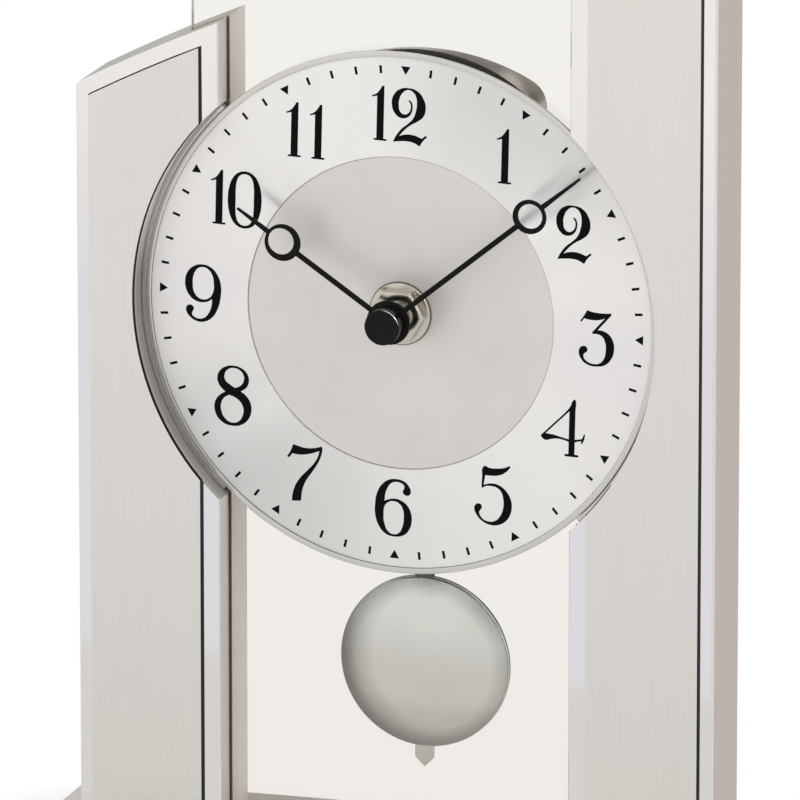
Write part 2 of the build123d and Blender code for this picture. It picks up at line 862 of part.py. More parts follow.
def make_hanger():
    y0 = hanger_front
    y1 = hanger_front + hanger_t
    z = dial_z
    step = z + hanger_step_z
    half = hanger_arm_w / 2
    body = disc(0, z + pivot_z, hanger_hub_r, y0, y1)
    body += block(-half, half, y0, y1, step, z + pivot_z)
    body += disc(0, z + magnet_z, magnet_seat_r, y0, y1)
    body += block(-half, half, y1 - tongue_t, y1, z + tongue_low, step)
    body += disc(0, z + peg_z, peg_r, rod_y - rod_t, y1 - tongue_t / 2)
    body -= disc(0, z + pivot_z, pivot_pin_r + run_gap, y0 - over, y1 + over)
    return body - disc(0, z + magnet_z, magnet_r + seat_gap, y0 - over, y0 + magnet_t + seat_gap)


def make_magnet():
    return disc(0, dial_z + magnet_z, magnet_r, hanger_front, hanger_front + magnet_t)


def make_rod():
    """A flat strip with a pointed foot, hung from the hanger's peg."""
    half = rod_w / 2
    top = dial_z + hanger_step_z - rod_top_gap
    shoulder = dial_z - rod_shoulder
    points = [(-half, top), (half, top), (half, shoulder), (0, dial_z - rod_tip), (-half, shoulder)]
    face = make_face(Polyline(points, close=True))
    face -= Pos(0, dial_z + peg_z) * Circle(peg_r + seat_gap)
    return slab(face, rod_y - rod_t / 2, rod_y + rod_t / 2)


def dome(crown):
    """The cap of a ball, bob_r wide at its flat side, that stands crown high along +Z."""
    ball_r = (bob_r**2 + crown**2) / (2 * crown)
    ball = Pos(0, 0, crown - ball_r) * Sphere(ball_r)
    return ball & (Pos(0, 0, crown / 2) * Box(2 * bob_r + over, 2 * bob_r + over, crown))


def make_bob_front():
    z = dial_z - bob_drop
    back = rod_y + rod_t / 2
    edge = back - bob_edge_t - seat_gap
    body = disc(0, z, bob_r, edge, back)
    body += Pos(0, edge, z) * Rot(90, 0, 0) * dome(bob_crown)
    half = rod_w / 2 + seat_gap
    return body - block(-half, half, back - rod_t - seat_gap, back + over, z - bob_r - over, z + bob_r + over)


def make_bob_back():
    y0 = rod_y + rod_t / 2 + seat_gap
    body = disc(0, dial_z - bob_drop, bob_r, y0, y0 + bob_back_t)
    return chamfer(rear_edges(body), bob_back_edge)


pieces = {
    "base": make_base(),
    "feet": make_feet(),
    "pillar_screws": make_pillar_screws(),
    "left_pillar": make_pillar(-1),
    "right_pillar": make_pillar(1),
    "left_trim_plate": make_trim(-1),
    "right_trim_plate": make_trim(1),
    "left_brushed_plate": make_plate(-1),
    "right_brushed_plate": make_plate(1),
    "glass_pane": make_pane(),
    "dial_rim": make_dial_rim(),
    "dial_plate": make_dial_plate(),
    "chapter_ring": make_chapter_ring(),
    "centre_washer": make_washer(),
    "centre_nut": make_nut(),
    "centre_bushing": make_bushing(),
    "hour_hand": make_hour_hand(),
    "minute_hand": make_minute_hand(),
    "hand_cap": make_hand_cap(),
    "hour_wheel": make_hour_wheel(),
    "motion_wheel": make_motion_wheel(),
    "minute_arbor": make_minute_arbor(),
    "centre_wheel": make_centre_wheel(),
    "third_wheel": make_third_wheel(),
    "rotor": make_rotor(),
    "stator": make_stator(),
    "motor_coil": make_motor_coil(),
    "circuit_board": make_circuit_board(),
    "quartz_crystal": make_crystal(),
    "case_front": make_case_front(),
    "case_rear": make_case_rear(),
    "case_screws": make_case_screws(),
    "battery": make_battery(),
    "plus_contact": make_contact(1),
    "minus_contact": make_minus_contact(),
    "mounting_tray": make_tray(),
    "rear_cover": make_rear_cover(),
    "cover_screws": make_cover_screws(),
    "setting_knob": make_knob(),
    "pivot_pin": make_pivot_pin(),
    "drive_coil": make_drive_coil(),
    "pendulum_hanger": make_hanger(),
    "drive_magnet": make_magnet(),
    "pendulum_rod": make_rod(),
    "bob_front": make_bob_front(),
    "bob_back": make_bob_back(),
}

for name, piece in pieces.items():
    if isinstance(piece, list):
        piece = Compound(children=piece)
    export_step(piece, f"parts/{name}.step")
    print(name, len(piece.solids()), round(piece.volume, 1))
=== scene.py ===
from math import asin, atan2, cos, pi, radians, sin, sqrt, tan

import bmesh
import bpy
from mathutils import Matrix, Vector


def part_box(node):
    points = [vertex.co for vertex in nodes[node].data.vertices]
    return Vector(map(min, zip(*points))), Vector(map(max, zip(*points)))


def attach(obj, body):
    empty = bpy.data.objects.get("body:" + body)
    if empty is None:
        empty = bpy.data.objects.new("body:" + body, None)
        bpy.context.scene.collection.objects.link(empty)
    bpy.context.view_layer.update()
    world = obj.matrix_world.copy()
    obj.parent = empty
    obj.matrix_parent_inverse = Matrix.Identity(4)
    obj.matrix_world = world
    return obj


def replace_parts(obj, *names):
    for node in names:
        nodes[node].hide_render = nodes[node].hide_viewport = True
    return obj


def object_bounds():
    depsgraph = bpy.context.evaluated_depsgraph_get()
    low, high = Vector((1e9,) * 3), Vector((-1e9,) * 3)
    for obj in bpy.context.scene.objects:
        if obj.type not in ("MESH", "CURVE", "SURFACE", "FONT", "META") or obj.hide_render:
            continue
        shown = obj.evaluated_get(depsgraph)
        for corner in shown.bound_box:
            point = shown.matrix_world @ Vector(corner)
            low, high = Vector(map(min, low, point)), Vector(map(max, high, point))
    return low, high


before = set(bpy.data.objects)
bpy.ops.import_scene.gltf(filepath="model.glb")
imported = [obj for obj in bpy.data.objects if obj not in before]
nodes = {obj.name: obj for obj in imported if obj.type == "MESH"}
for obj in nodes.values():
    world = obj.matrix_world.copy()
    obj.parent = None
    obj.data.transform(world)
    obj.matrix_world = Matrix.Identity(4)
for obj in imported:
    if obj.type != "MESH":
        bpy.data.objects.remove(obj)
cad_low, cad_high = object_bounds()

# Desk pendulum clock. Metres, +Z up, the dial faces -Y. Sizes below are in millimetres times MM.
MM = 0.001

# Camera. Azimuth 0 is in front of the dial, and 90 at its right. Angles are in degrees.
target = Vector((0.0, 0.0, 141.46)) * MM
view_distance = 3.5
view_azimuth = 18.61
view_elevation = 15.44
lens = 562.2
sensor = 36.0

# Floor and light
floor_half = 6.0
shadow_near = 2 * MM
shadow_far = 34 * MM
table_edge = 205 * MM
table_fade = 8 * MM
lilac_end = 600 * MM
warm_start = 900 * MM
floor_colour = (0.86, 0.855, 0.84)
table_gloss = (0.775, 0.76, 0.73, 1.0)
lilac_gloss = (0.85, 0.835, 0.85, 1.0)
warm_gloss = (1.0, 0.975, 0.93, 1.0)
white = (1.0, 1.0, 1.0, 1.0)
world_diffuse = 0.70
lamp_distance = 1.6
direct_depth = 2.5

# Lamps: azimuth, elevation, size, watts, and whether gloss shows them
lamps = {"key": (-55, 62, 0.9, 9.0, False), "fill": (60, 33, 0.32, 2.4, True)}

# Patches of the sky that gloss sees: azimuth, elevation, the angles where a patch starts and is full, and the
# tone outside and inside
dim_patches = (
    (18.6, 15.4, 19, 8, 1.0, 0.3),
    (1.4, 37.0, 16, 7, 1.0, 0.2),
    (180.0, 22.0, 48, 34, 1.0, 0.2),
)
rear_patch = (171.0, 24.0, 12, 4, 0.0, 1.0)
spark_patch = (60.0, 33.0, 8, 5, 0.0, 7.0)

# Print on the dial
print_turn = radians(1.37)
ink_t = 0.04 * MM
ink_sink = 0.01 * MM
tick_r = 70.2 * MM
tick_long = 2.25 * MM
tick_wide = 0.74 * MM
mark_r = 70.1 * MM
mark_long = 2.4 * MM
mark_wide = 2.77 * MM

# Hands
hand_round = 0.16 * MM
hand_shaft_w = 1.55 * MM
hand_point_w = 1.5 * MM
hand_tip_w = 0.72 * MM
minute_bore_r = 1.6 * MM

# For each hand how far its tip and its ring's middle are out, the ring's radius, the hole's radius and its
# shift from the ring's middle, the radii of hub and bore, and the angle from 12
hands = {
    "hour": (53.35 * MM, 37.3 * MM, 5.3 * MM, 3.8 * MM, 0.58 * MM, 6.35 * MM, 2.5 * MM, radians(303.4)),
    "minute": (73.4 * MM, 54.4 * MM, 4.9 * MM, 3.53 * MM, 0.27 * MM, 5.0 * MM, minute_bore_r, radians(50.6)),
}

# Painted shade on the ring, at places from the dial's centre: across, up, start and end of the fade, share
ring_painted_shades = (
    (-44 * MM, -66 * MM, 14 * MM, 66 * MM, 0.83),
    (26 * MM, 68 * MM, 6 * MM, 40 * MM, 0.87),
    (-60 * MM, -42 * MM, 4 * MM, 30 * MM, 0.93),
    (48 * MM, 48 * MM, 6 * MM, 26 * MM, 0.95),
    (22 * MM, -66 * MM, 6 * MM, 34 * MM, 0.95),
)

# Small forms and tones that the CAD leaves to the scene
fit_gap = 0.05 * MM
cap_round = 0.3 * MM
cap_dish = 0.08 * MM
cap_seat = 0.85 * MM
cap_dish_share = 0.82
cap_lip_share = 0.86
# The way that the cap's painted highlight faces
highlight_way = Vector((0.5, -0.62, 0.6))
washer_round = 0.35 * MM
nut_round = 0.35 * MM
bushing_r = 4.0 * MM
# The left pillar's inner colour is painted much lighter than the side lacquer: painted light on its shaded
# inner side.
curve_steps = 8
collet_r = 4.7 * MM
collet_t = 1.3 * MM
lining_in_r = 75.65 * MM
lining_out_r = 76.9 * MM
lining_front = 0.2 * MM
lining_back = 2.35 * MM
rim_round = 0.3 * MM
rim_flange = 0.7 * MM
rim_sleeve = 0.35 * MM
dark_edge_t = 0.24 * MM
dark_edge_way = Vector((0.756, 0.0, 0.654))
dark_edge_limit = -0.25
plate_air = 0.06 * MM
# Painted shadow on the dial plate at the foot of the ring's inner edge: its width and the share it leaves
ring_foot_shadow_w = 0.4 * MM
ring_foot_shadow_share = 0.45
recess_r = 77.0 * MM
recess_skin = 0.15 * MM
recess_fade_start = 5.0 * MM
recess_fade_end = 25.0 * MM
# Painted shade strips where the pane enters the pillars: width, thickness and air before the pane
slot_shade_wide = 0.45 * MM
slot_shade_t = 0.55 * MM
slot_shade_air = 0.03 * MM
# Painted shade ring round the washer's foot: outer radius and thickness
washer_foot_shadow_r = 9.15 * MM
washer_foot_shadow_t = 0.35 * MM
bob_sheet = 0.6 * MM
bob_skirt = 0.8 * MM
# Painted shade on the bob: its lower left darkens away from a point across and up from its middle
lower_left_shade_across = 6.0 * MM
lower_left_shade_up = 2.5 * MM
lower_left_shade_start = 20.5 * MM
lower_left_shade_end = 29.5 * MM
# Painted shadow on the bob under the strip: its place across and its radius
bob_shadow_across = 1.5 * MM
bob_shadow_r = 6.5 * MM
# Painted shade along the bob's edge: where it starts and where it is full
bob_edge_shade_start = 20.0 * MM
bob_edge_shade_end = 24.5 * MM
bob_lip = 0.75 * MM
strip_round = 0.18 * MM
strip_point = 2.8 * MM
# Painted shadow on the strip above the bob: where it starts and where it is full, below the bob's top
strip_shadow_start = 3 * MM
strip_shadow_end = 2 * MM
peg_r = 1.0 * MM
peg_up = 3.6 * MM

dial_low, dial_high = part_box("chapter_ring")
dial_x = (dial_low.x + dial_high.x) / 2
dial_z = (dial_low.z + dial_high.z) / 2
dial_y = dial_low.y
chapter_r = (dial_high.x - dial_low.x) / 2


def srgb(r, g, b):
    """A colour named by its 0 to 255 values on screen, as a linear one."""
    linear = [c / 255 / 12.92 if c <= 10 else ((c / 255 + 0.055) / 1.055) ** 2.4 for c in (r, g, b)]
    return (*linear, 1.0)


def scaled(colour, share):
    return (*[min(1.0, c * share) for c in colour[:3]], 1.0)


# Shader building

def add(tree, kind, inputs=None, **settings):
    """A shader node. An input is a value or another node's socket."""
    made = tree.nodes.new("ShaderNode" + kind)
    for name, value in settings.items():
        setattr(made, name, value)
    for name, value in (inputs or {}).items():
        if isinstance(value, bpy.types.NodeSocket):
            tree.links.new(value, made.inputs[name])
        else:
            made.inputs[name].default_value = value
    return made


def calc(tree, operation, first, second=0.0):
    return add(tree, "Math", {0: first, 1: second}, operation=operation).outputs[0]


def blank_material(name):
    material = bpy.data.materials.new(name)
    material.use_nodes = True
    material.node_tree.nodes.clear()
    return material, material.node_tree


def place(tree):
    return add(tree, "TexCoord").outputs["Object"]


def spot(tree):
    """The X, Y and Z of a point, in metres."""
    return add(tree, "SeparateXYZ", {0: place(tree)}).outputs


def product(tree, first, *others):
    for other in others:
        first = calc(tree, "MULTIPLY", first, other)
    return first


def blend(tree, first, second):
    """Two noises in one, with more of the first."""
    return calc(tree, "ADD", product(tree, first, 0.6), product(tree, second, 0.4))


def length(tree, across, up):
    square = calc(tree, "ADD", calc(tree, "POWER", across, 2.0), calc(tree, "POWER", up, 2.0))
    return calc(tree, "SQRT", square)


def grain(tree, size, stretch=(1, 1, 1), detail=4.0, rough=0.6):
    """Noise in the object's frame. size is the features per metre, and stretch the scale along X, Y and Z."""
    scale = tuple(s * size for s in stretch)
    moved = add(tree, "Mapping", {"Vector": place(tree), "Scale": scale})
    inputs = {"Vector": moved.outputs[0], "Scale": 1.0, "Detail": detail, "Roughness": rough}
    return add(tree, "TexNoise", inputs).outputs["Fac"]


def distance(tree, x, z):
    """How far a point is from an axis along Y, in metres."""
    parts = spot(tree)
    return length(tree, calc(tree, "SUBTRACT", parts["X"], x), calc(tree, "SUBTRACT", parts["Z"], z))


def spread(tree, value, low, high, start=0.0, end=1.0):
    ends = {"Value": value, "From Min": start, "From Max": end, "To Min": low, "To Max": high}
    return add(tree, "MapRange", ends).outputs[0]


def mixed(tree, share, first, second):
    return add(tree, "MixRGB", {"Fac": share, "Color1": first, "Color2": second}).outputs[0]


def toned(tree, colour, share):
    inputs = {"Fac": 1.0, "Color1": colour, "Color2": share}
    return add(tree, "MixRGB", inputs, blend_type="MULTIPLY").outputs[0]


def bumped(tree, height, strength, depth):
    """A normal with fine relief. depth is in millimetres."""
    return add(tree, "Bump", {"Height": height, "Strength": strength, "Distance": depth * MM}).outputs[0]


def facing(tree):
    """The X, Y and Z of the direction in which a face looks."""
    return add(tree, "SeparateXYZ", {0: add(tree, "NewGeometry").outputs["True Normal"]}).outputs


def edge_share(tree):
    """1 on faces that look sideways, up or down, and 0 on faces that look to the front or the rear."""
    return calc(tree, "LESS_THAN", calc(tree, "ABSOLUTE", facing(tree)["Y"]), 0.5)


def along(tree, way, middle):
    """The cosine between two directions."""
    return add(tree, "VectorMath", {0: way, 1: middle}, operation="DOT_PRODUCT").outputs["Value"]


def seen_and_mirrored(tree):
    """Whether a ray shows the backdrop, also through the pane, and whether it shows what gloss reflects."""
    paths = add(tree, "LightPath").outputs
    early = calc(tree, "LESS_THAN", paths["Ray Depth"], direct_depth)
    through = product(tree, paths["Is Transmission Ray"], early)
    seen = calc(tree, "MAXIMUM", paths["Is Camera Ray"], through)
    return seen, calc(tree, "GREATER_THAN", paths["Is Glossy Ray"], through)


def close(tree, inputs):
    shader = add(tree, "BsdfPrincipled", inputs)
    add(tree, "OutputMaterial", {"Surface": shader.outputs[0]})


def surface(name, colour, rough, metal, vary, size, stretch=(1, 1, 1), relief=0.02, extra=None):
    """A finish with fine mottling: its tone, gloss and relief follow one noise, and a wide one moves its
    tone."""
    material, tree = blank_material(name)
    fine = grain(tree, size, stretch)
    wide = grain(tree, size / 14, stretch, detail=2.0)
    tone = spread(tree, blend(tree, fine, wide), 0.0, 1.0, 0.3, 0.7)
    inputs = {
        "Base Color": mixed(tree, tone, scaled(colour, 1 - vary), scaled(colour, 1 + vary)),
        "Metallic": metal,
        "Roughness": spread(tree, tone, rough * 0.85, rough * 1.15),
        "Normal": bumped(tree, fine, 0.5, relief),
    }
    inputs.update(extra or {})
    close(tree, inputs)
    return material


def brushed_plate_material():
    """Aluminium brushed upwards: long fine lines, with a few darker strokes."""
    material, tree = blank_material("brushed_aluminium")
    lines = grain(tree, 5200.0, (1, 1, 0.012), detail=3.0)
    strokes = grain(tree, 1500.0, (1, 1, 0.035), detail=5.0, rough=0.75)
    wide = grain(tree, 60.0, (1, 1, 0.1), detail=2.0)
    tone = calc(tree, "ADD", product(tree, lines, 0.35), product(tree, strokes, 0.5))
    tone = calc(tree, "ADD", tone, product(tree, wide, 0.15))
    share = spread(tree, tone, 0.0, 1.0, 0.36, 0.62)
    edge = edge_share(tree)
    base = mixed(tree, share, srgb(230, 227, 224), srgb(236, 234, 230))
    close(tree, {
        "Base Color": mixed(tree, edge, base, srgb(14, 14, 16)),
        "Metallic": spread(tree, edge, 1.0, 0.0),
        "Specular IOR Level": 0.08,
        "Roughness": spread(tree, strokes, 0.3, 0.42),
        "Normal": bumped(tree, lines, 0.14, 0.01),
    })
    return material


def left_recess_painted_shade(tree):
    """Where painted shade darkens the left recess: 1 on its wall, fading out above the dial's middle, and 0
    elsewhere.
    """
    where = spot(tree)
    wall = calc(tree, "LESS_THAN", distance(tree, dial_x, dial_z), recess_r + recess_skin)
    left = calc(tree, "LESS_THAN", where["X"], 0.0)
    fade = spread(tree, where["Z"], 1.0, 0.0, dial_z + recess_fade_start, dial_z + recess_fade_end)
    return product(tree, wall, left, fade)


def pillar_material(name, inner, front_painted_shade_share):
    """Silver lacquer with upright grain, with painted light and shade. The top gets a tone of its own for how
    light falls on it, and the sides that face +X get the inner colour, painted darker before the pane than
    behind it. The left recess gets painted shade."""
    material, tree = blank_material(name)
    fine = grain(tree, 1800.0, (1, 1, 0.05))
    wide = grain(tree, 130.0, (1, 1, 0.05), detail=2.0)
    tone = spread(tree, blend(tree, fine, wide), 0.0, 1.0, 0.3, 0.7)
    where = spot(tree)
    look = facing(tree)
    # Painted light: the top faces get a tone of their own for how light falls on them.
    high = calc(tree, "GREATER_THAN", where["Z"], dial_z)
    top = product(tree, calc(tree, "GREATER_THAN", look["Z"], 0.5), high)
    # Painted light and shade: the inner colour is scaled down before the pane and is full behind it.
    rear = calc(tree, "GREATER_THAN", where["Y"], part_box("glass_pane")[0].y)
    base = mixed(tree, rear, scaled(inner, front_painted_shade_share), inner)
    # Painted shade on the wall of the left recess.
    base = mixed(tree, left_recess_painted_shade(tree), base, srgb(168, 164, 160))
    # Faces that look to +X get the inner colour, painted lighter on the left pillar. The others get the side
    # lacquer.
    base = mixed(tree, calc(tree, "GREATER_THAN", look["X"], 0.5), side_lacquer, base)
    base = mixed(tree, top, base, srgb(199, 196, 187))
    close(tree, {
        "Base Color": toned(tree, base, spread(tree, tone, 0.95, 1.05)),
        "Metallic": 0.35,
        "Roughness": spread(tree, tone, 0.36, 0.48),
        "Normal": bumped(tree, fine, 0.5, 0.01),
    })
    return material


def polished_material():
    """Bright drawn aluminium with hairlines that show only in its gloss, and painted shade in the left
    recess.
    """
    material, tree = blank_material("polished_aluminium")
    hair = grain(tree, 3000.0, (1, 1, 0.05), detail=2.0)
    wide = grain(tree, 25.0, (1, 1, 0.3), detail=2.0)
    base = mixed(tree, wide, srgb(235, 234, 235), srgb(238, 237, 238))
    # Painted shade on the wall of the left recess.
    base = mixed(tree, left_recess_painted_shade(tree), base, srgb(178, 176, 172))
    edge = edge_share(tree)
    close(tree, {
        "Base Color": base,
        "Metallic": spread(tree, edge, 1.0, 0.25),
        "Roughness": calc(tree, "ADD", spread(tree, hair, 0.05, 0.09), product(tree, edge, 0.4)),
        "Normal": bumped(tree, hair, 0.04, 0.004),
    })
    return material


def bob_material():
    """Satin aluminium, with painted shade at its lower left and edge and a painted shadow under the strip."""
    material, tree = blank_material("satin_bob")
    low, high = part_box("bob_front")
    x, z = (low.x + high.x) / 2, (low.z + high.z) / 2
    away = distance(tree, x + lower_left_shade_across, z + lower_left_shade_up)
    under = distance(tree, x + bob_shadow_across, high.z)
    fine = grain(tree, 3800.0)
    fleck = mixed(tree, fine, srgb(245, 252, 255), srgb(250, 255, 255))
    # Painted shade: the lower left darkens away from a point up and to the right of the middle.
    painted_lower_left_shade = spread(tree, away, 1.0, 0.55, lower_left_shade_start, lower_left_shade_end)
    # Painted shade along the edge.
    edge = spread(tree, distance(tree, x, z), 1.0, 0.7, bob_edge_shade_start, bob_edge_shade_end)
    # Painted shadow under the strip: a dark speckled patch at the bob's top.
    speckle = spread(tree, grain(tree, 2600.0), 0.4, 1.0, 0.4, 0.6)
    painted_bob_shadow = mixed(tree, spread(tree, under, 0.0, 1.0, 0.0, bob_shadow_r), speckle, white)
    close(tree, {
        "Base Color": toned(tree, fleck, product(tree, painted_lower_left_shade, edge, painted_bob_shadow)),
        "Metallic": 1.0,
        "Roughness": spread(tree, fine, 0.22, 0.28),
        "Normal": bumped(tree, fine, 0.5, 0.003),
    })
    return material


def turned_material(name, dark, light, rough, relief, anisotropy, lines_per_mm=14.0, bore_painted_shade=0.0,
                    painted_shades=()):
    """Metal that is turned or brushed round the dial's centre, with painted shade at the places given and
    painted shade on its bore where told."""
    material, tree = blank_material(name)
    r = distance(tree, dial_x, dial_z)
    lines = add(tree, "TexNoise", {"W": product(tree, r, lines_per_mm / MM), "Scale": 1.0, "Detail": 3.0},
                noise_dimensions="1D").outputs["Fac"]
    wide = grain(tree, 60.0, detail=2.0)
    base = mixed(tree, spread(tree, blend(tree, lines, wide), 0.0, 1.0, 0.35, 0.65), dark, light)
    # Painted shade: each place darkens the tone by its share, fading between start and end.
    for across, up, start, end, share in painted_shades:
        away = distance(tree, dial_x + across, dial_z + up)
        base = toned(tree, base, spread(tree, away, share, 1.0, start, end))
    # Painted shade on the bore: inside the given radius the tone turns dark.
    if bore_painted_shade:
        base = mixed(tree, calc(tree, "LESS_THAN", r, bore_painted_shade), base, srgb(38, 37, 35))
    tangent = add(tree, "Tangent", direction_type="RADIAL", axis="Y")
    close(tree, {
        "Base Color": base,
        "Metallic": 1.0,
        "Roughness": rough,
        "Anisotropic": anisotropy,
        "Anisotropic Rotation": 0.25,
        "Tangent": tangent.outputs[0],
        "Normal": bumped(tree, lines, 0.1, relief),
    })
    return material


def glass_material():
    """A clear pane, a little hazy, with frosted grey-green edges. Lamps shine through it without a bend."""
    material, tree = blank_material("clear_pane")
    haze = product(tree, grain(tree, 40.0, detail=2.0), 0.3)
    # Painted shade: the tint darkens towards the bottom.
    painted_height_shade = product(tree, spot(tree)["Z"], 0.7 / cad_high.z)
    body = mixed(tree, calc(tree, "ADD", haze, painted_height_shade), (0.866, 0.832, 0.80, 1.0), (0.892, 0.878, 0.845, 1.0))
    edge = edge_share(tree)
    clear = add(tree, "BsdfPrincipled", {
        "Base Color": mixed(tree, edge, body, (0.50, 0.53, 0.51, 1.0)),
        "Roughness": spread(tree, edge, 0.0, 0.3),
        "IOR": 1.49,
        "Transmission Weight": spread(tree, edge, 1.0, 0.35),
    })
    passing = add(tree, "BsdfTransparent", {"Color": (0.88, 0.86, 0.84, 1.0)})
    lamp_ray = add(tree, "LightPath").outputs["Is Shadow Ray"]
    both = add(tree, "MixShader", {0: lamp_ray, 1: clear.outputs[0], 2: passing.outputs[0]})
    add(tree, "OutputMaterial", {"Surface": both.outputs[0]})
    return material


def cap_material():
    """Gloss black, with a painted highlight along the upper right of its front edge."""
    material, tree = blank_material("cap_black")
    cap_low, cap_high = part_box("hand_cap")
    cap_r = (cap_high.x - cap_low.x) / 2
    outer = calc(tree, "GREATER_THAN", distance(tree, dial_x, dial_z), cap_r - cap_round)
    front = calc(tree, "LESS_THAN", spot(tree)["Y"], cap_low.y + cap_round)
    # Painted highlight: where the front edge faces the given way, it turns bright metal.
    match = along(tree, add(tree, "NewGeometry").outputs["Normal"], highlight_way.normalized())
    painted_highlight = product(tree, outer, front, spread(tree, match, 0.0, 1.0, 0.86, 0.93))
    fleck = grain(tree, 1800.0)
    paint = mixed(tree, fleck, srgb(12, 12, 11), srgb(17, 17, 15))
    close(tree, {
        "Base Color": mixed(tree, painted_highlight, paint, srgb(236, 236, 232)),
        "Metallic": painted_highlight,
        "Roughness": spread(tree, fleck, 0.16, 0.26),
        "Specular IOR Level": 0.15,
    })
    return material


def battery_sleeve_material(low, high):
    """A dark sleeve with a copper band at its positive end."""
    material, tree = blank_material("battery_sleeve")
    band = calc(tree, "GREATER_THAN", spot(tree)["X"], low + 0.7 * (high - low))
    fleck = grain(tree, 700.0)
    dark = mixed(tree, fleck, srgb(38, 39, 42), srgb(52, 53, 57))
    copper = mixed(tree, fleck, srgb(176, 110, 62), srgb(196, 128, 76))
    close(tree, {
        "Base Color": mixed(tree, band, dark, copper),
        "Metallic": spread(tree, band, 0.2, 0.85),
        "Roughness": spread(tree, fleck, 0.25, 0.35),
        "Coat Weight": 0.5,
        "Coat Roughness": 0.1,
    })
    return material


def floor_material():
    """Pale matt floor that keeps the shadow near the object, and is white further away. Gloss sees a table
    with a lilac band before it, and warm white beyond."""
    material, tree = blank_material("floor")
    where = add(tree, "NewGeometry").outputs["Position"]
    parts = add(tree, "SeparateXYZ", {0: where}).outputs
    gaps = [calc(tree, "MAXIMUM", calc(tree, "SUBTRACT", calc(tree, "ABSOLUTE", parts[axis]), edge), 0.0)
            for axis, edge in (("X", cad_high.x), ("Y", cad_high.y))]
    lit = spread(tree, length(tree, *gaps), 0.0, 1.0, shadow_near, shadow_far)
    seen, mirrored = seen_and_mirrored(tree)
    share = calc(tree, "MAXIMUM", product(tree, seen, lit), mirrored)
    beyond = spread(tree, parts["Y"], 1.0, 0.0, -table_edge - table_fade, -table_edge)
    far = spread(tree, parts["Y"], 1.0, 0.0, -warm_start, -lilac_end)
    gloss = mixed(tree, far, mixed(tree, beyond, table_gloss, lilac_gloss), warm_gloss)
    colour = mixed(tree, mirrored, white, gloss)
    fleck = mixed(tree, grain(tree, 500.0), scaled(floor_colour, 0.98), scaled(floor_colour, 1.02))
    matt = add(tree, "BsdfPrincipled", {"Base Color": fleck, "Roughness": 0.9})
    bright = add(tree, "Emission", {"Color": colour, "Strength": 1.0})
    both = add(tree, "MixShader", {0: share, 1: matt.outputs[0], 2: bright.outputs[0]})
    add(tree, "OutputMaterial", {"Surface": both.outputs[0]})
    return material


# Mesh building

front_view = Matrix.Rotation(pi / 2, 4, "X")


def put(name, data):
    """A new object in the scene."""
    made = bpy.data.objects.new(name, data)
    bpy.context.scene.collection.objects.link(made)
    return made


def new_piece(name, mesh, material, body, sharp_deg=32.0):
    mesh.materials.clear()
    mesh.materials.append(material)
    mesh.shade_smooth()
    mesh.set_sharp_from_angle(angle=radians(sharp_deg))
    piece = put(name, mesh)
    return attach(piece, body)


def finished(shape, mesh):
    """The edited shape, written into the mesh."""
    shape.to_mesh(mesh)
    shape.free()
    return mesh


def joined(mesh):
    """The mesh with its doubled points made one."""
    shape = bmesh.new()
    shape.from_mesh(mesh)
    bmesh.ops.remove_doubles(shape, verts=shape.verts, dist=0.0005 * MM)
    bmesh.ops.recalc_face_normals(shape, faces=shape.faces)
    return finished(shape, mesh)


def sheet_mesh(loops, x, z, y_front, y_back, edge=0.0):
    """Outlines in front view, filled and given thickness. A point is (across, up), or (across, up, 1) for a
    corner. A loop inside another is a hole. edge rounds the rims."""
    curve = bpy.data.curves.new("outline", "CURVE")
    curve.dimensions = "2D"
    curve.fill_mode = "BOTH"
    curve.resolution_u = curve_steps
    curve.extrude = (y_back - y_front) / 2 - edge
    curve.bevel_depth = edge
    curve.bevel_resolution = 2
    curve.offset = -edge
    for loop in loops:
        spline = curve.splines.new("BEZIER")
        spline.bezier_points.add(len(loop) - 1)
        spline.use_cyclic_u = True
        for knot, point in zip(spline.bezier_points, loop):
            knot.co = (point[0], point[1], 0.0)
            kind = "VECTOR" if len(point) == 3 else "AUTO"
            knot.handle_left_type = kind
            knot.handle_right_type = kind
    holder = bpy.data.objects.new("outline", curve)
    mesh = bpy.data.meshes.new_from_object(holder)
    bpy.data.objects.remove(holder)
    bpy.data.curves.remove(curve)
    mesh.transform(Matrix.Translation((x, (y_front + y_back) / 2, z)) @ front_view)
    return joined(mesh)


def merged(name, meshes):
    shape = bmesh.new()
    for mesh in meshes:
        shape.from_mesh(mesh)
    whole = finished(shape, bpy.data.meshes.new(name))
    for mesh in meshes:
        bpy.data.meshes.remove(mesh)
    return whole


def soften(points, radii, steps=5):
    """A closed profile with each corner turned into an arc of its own radius."""
    rounded = []
    for i, (corner, radius) in enumerate(zip(points, radii)):
        here = Vector(corner)
        before = (Vector(points[i - 1]) - here).normalized()
        after = (Vector(points[(i + 1) % len(points)]) - here).normalized()
        if radius == 0:
            rounded.append(tuple(here))
            continue
        half = before.angle(after) / 2
        middle = here + (before + after).normalized() * (radius / sin(half))
        start = here + before * (radius / tan(half)) - middle
        end = here + after * (radius / tan(half)) - middle
        first = atan2(start.y, start.x)
        sweep = (atan2(end.y, end.x) - first + pi) % (2 * pi) - pi
        turns = [first + sweep * k / steps for k in range(steps + 1)]
        rounded += [(middle.x + radius * cos(a), middle.y + radius * sin(a)) for a in turns]
    return rounded


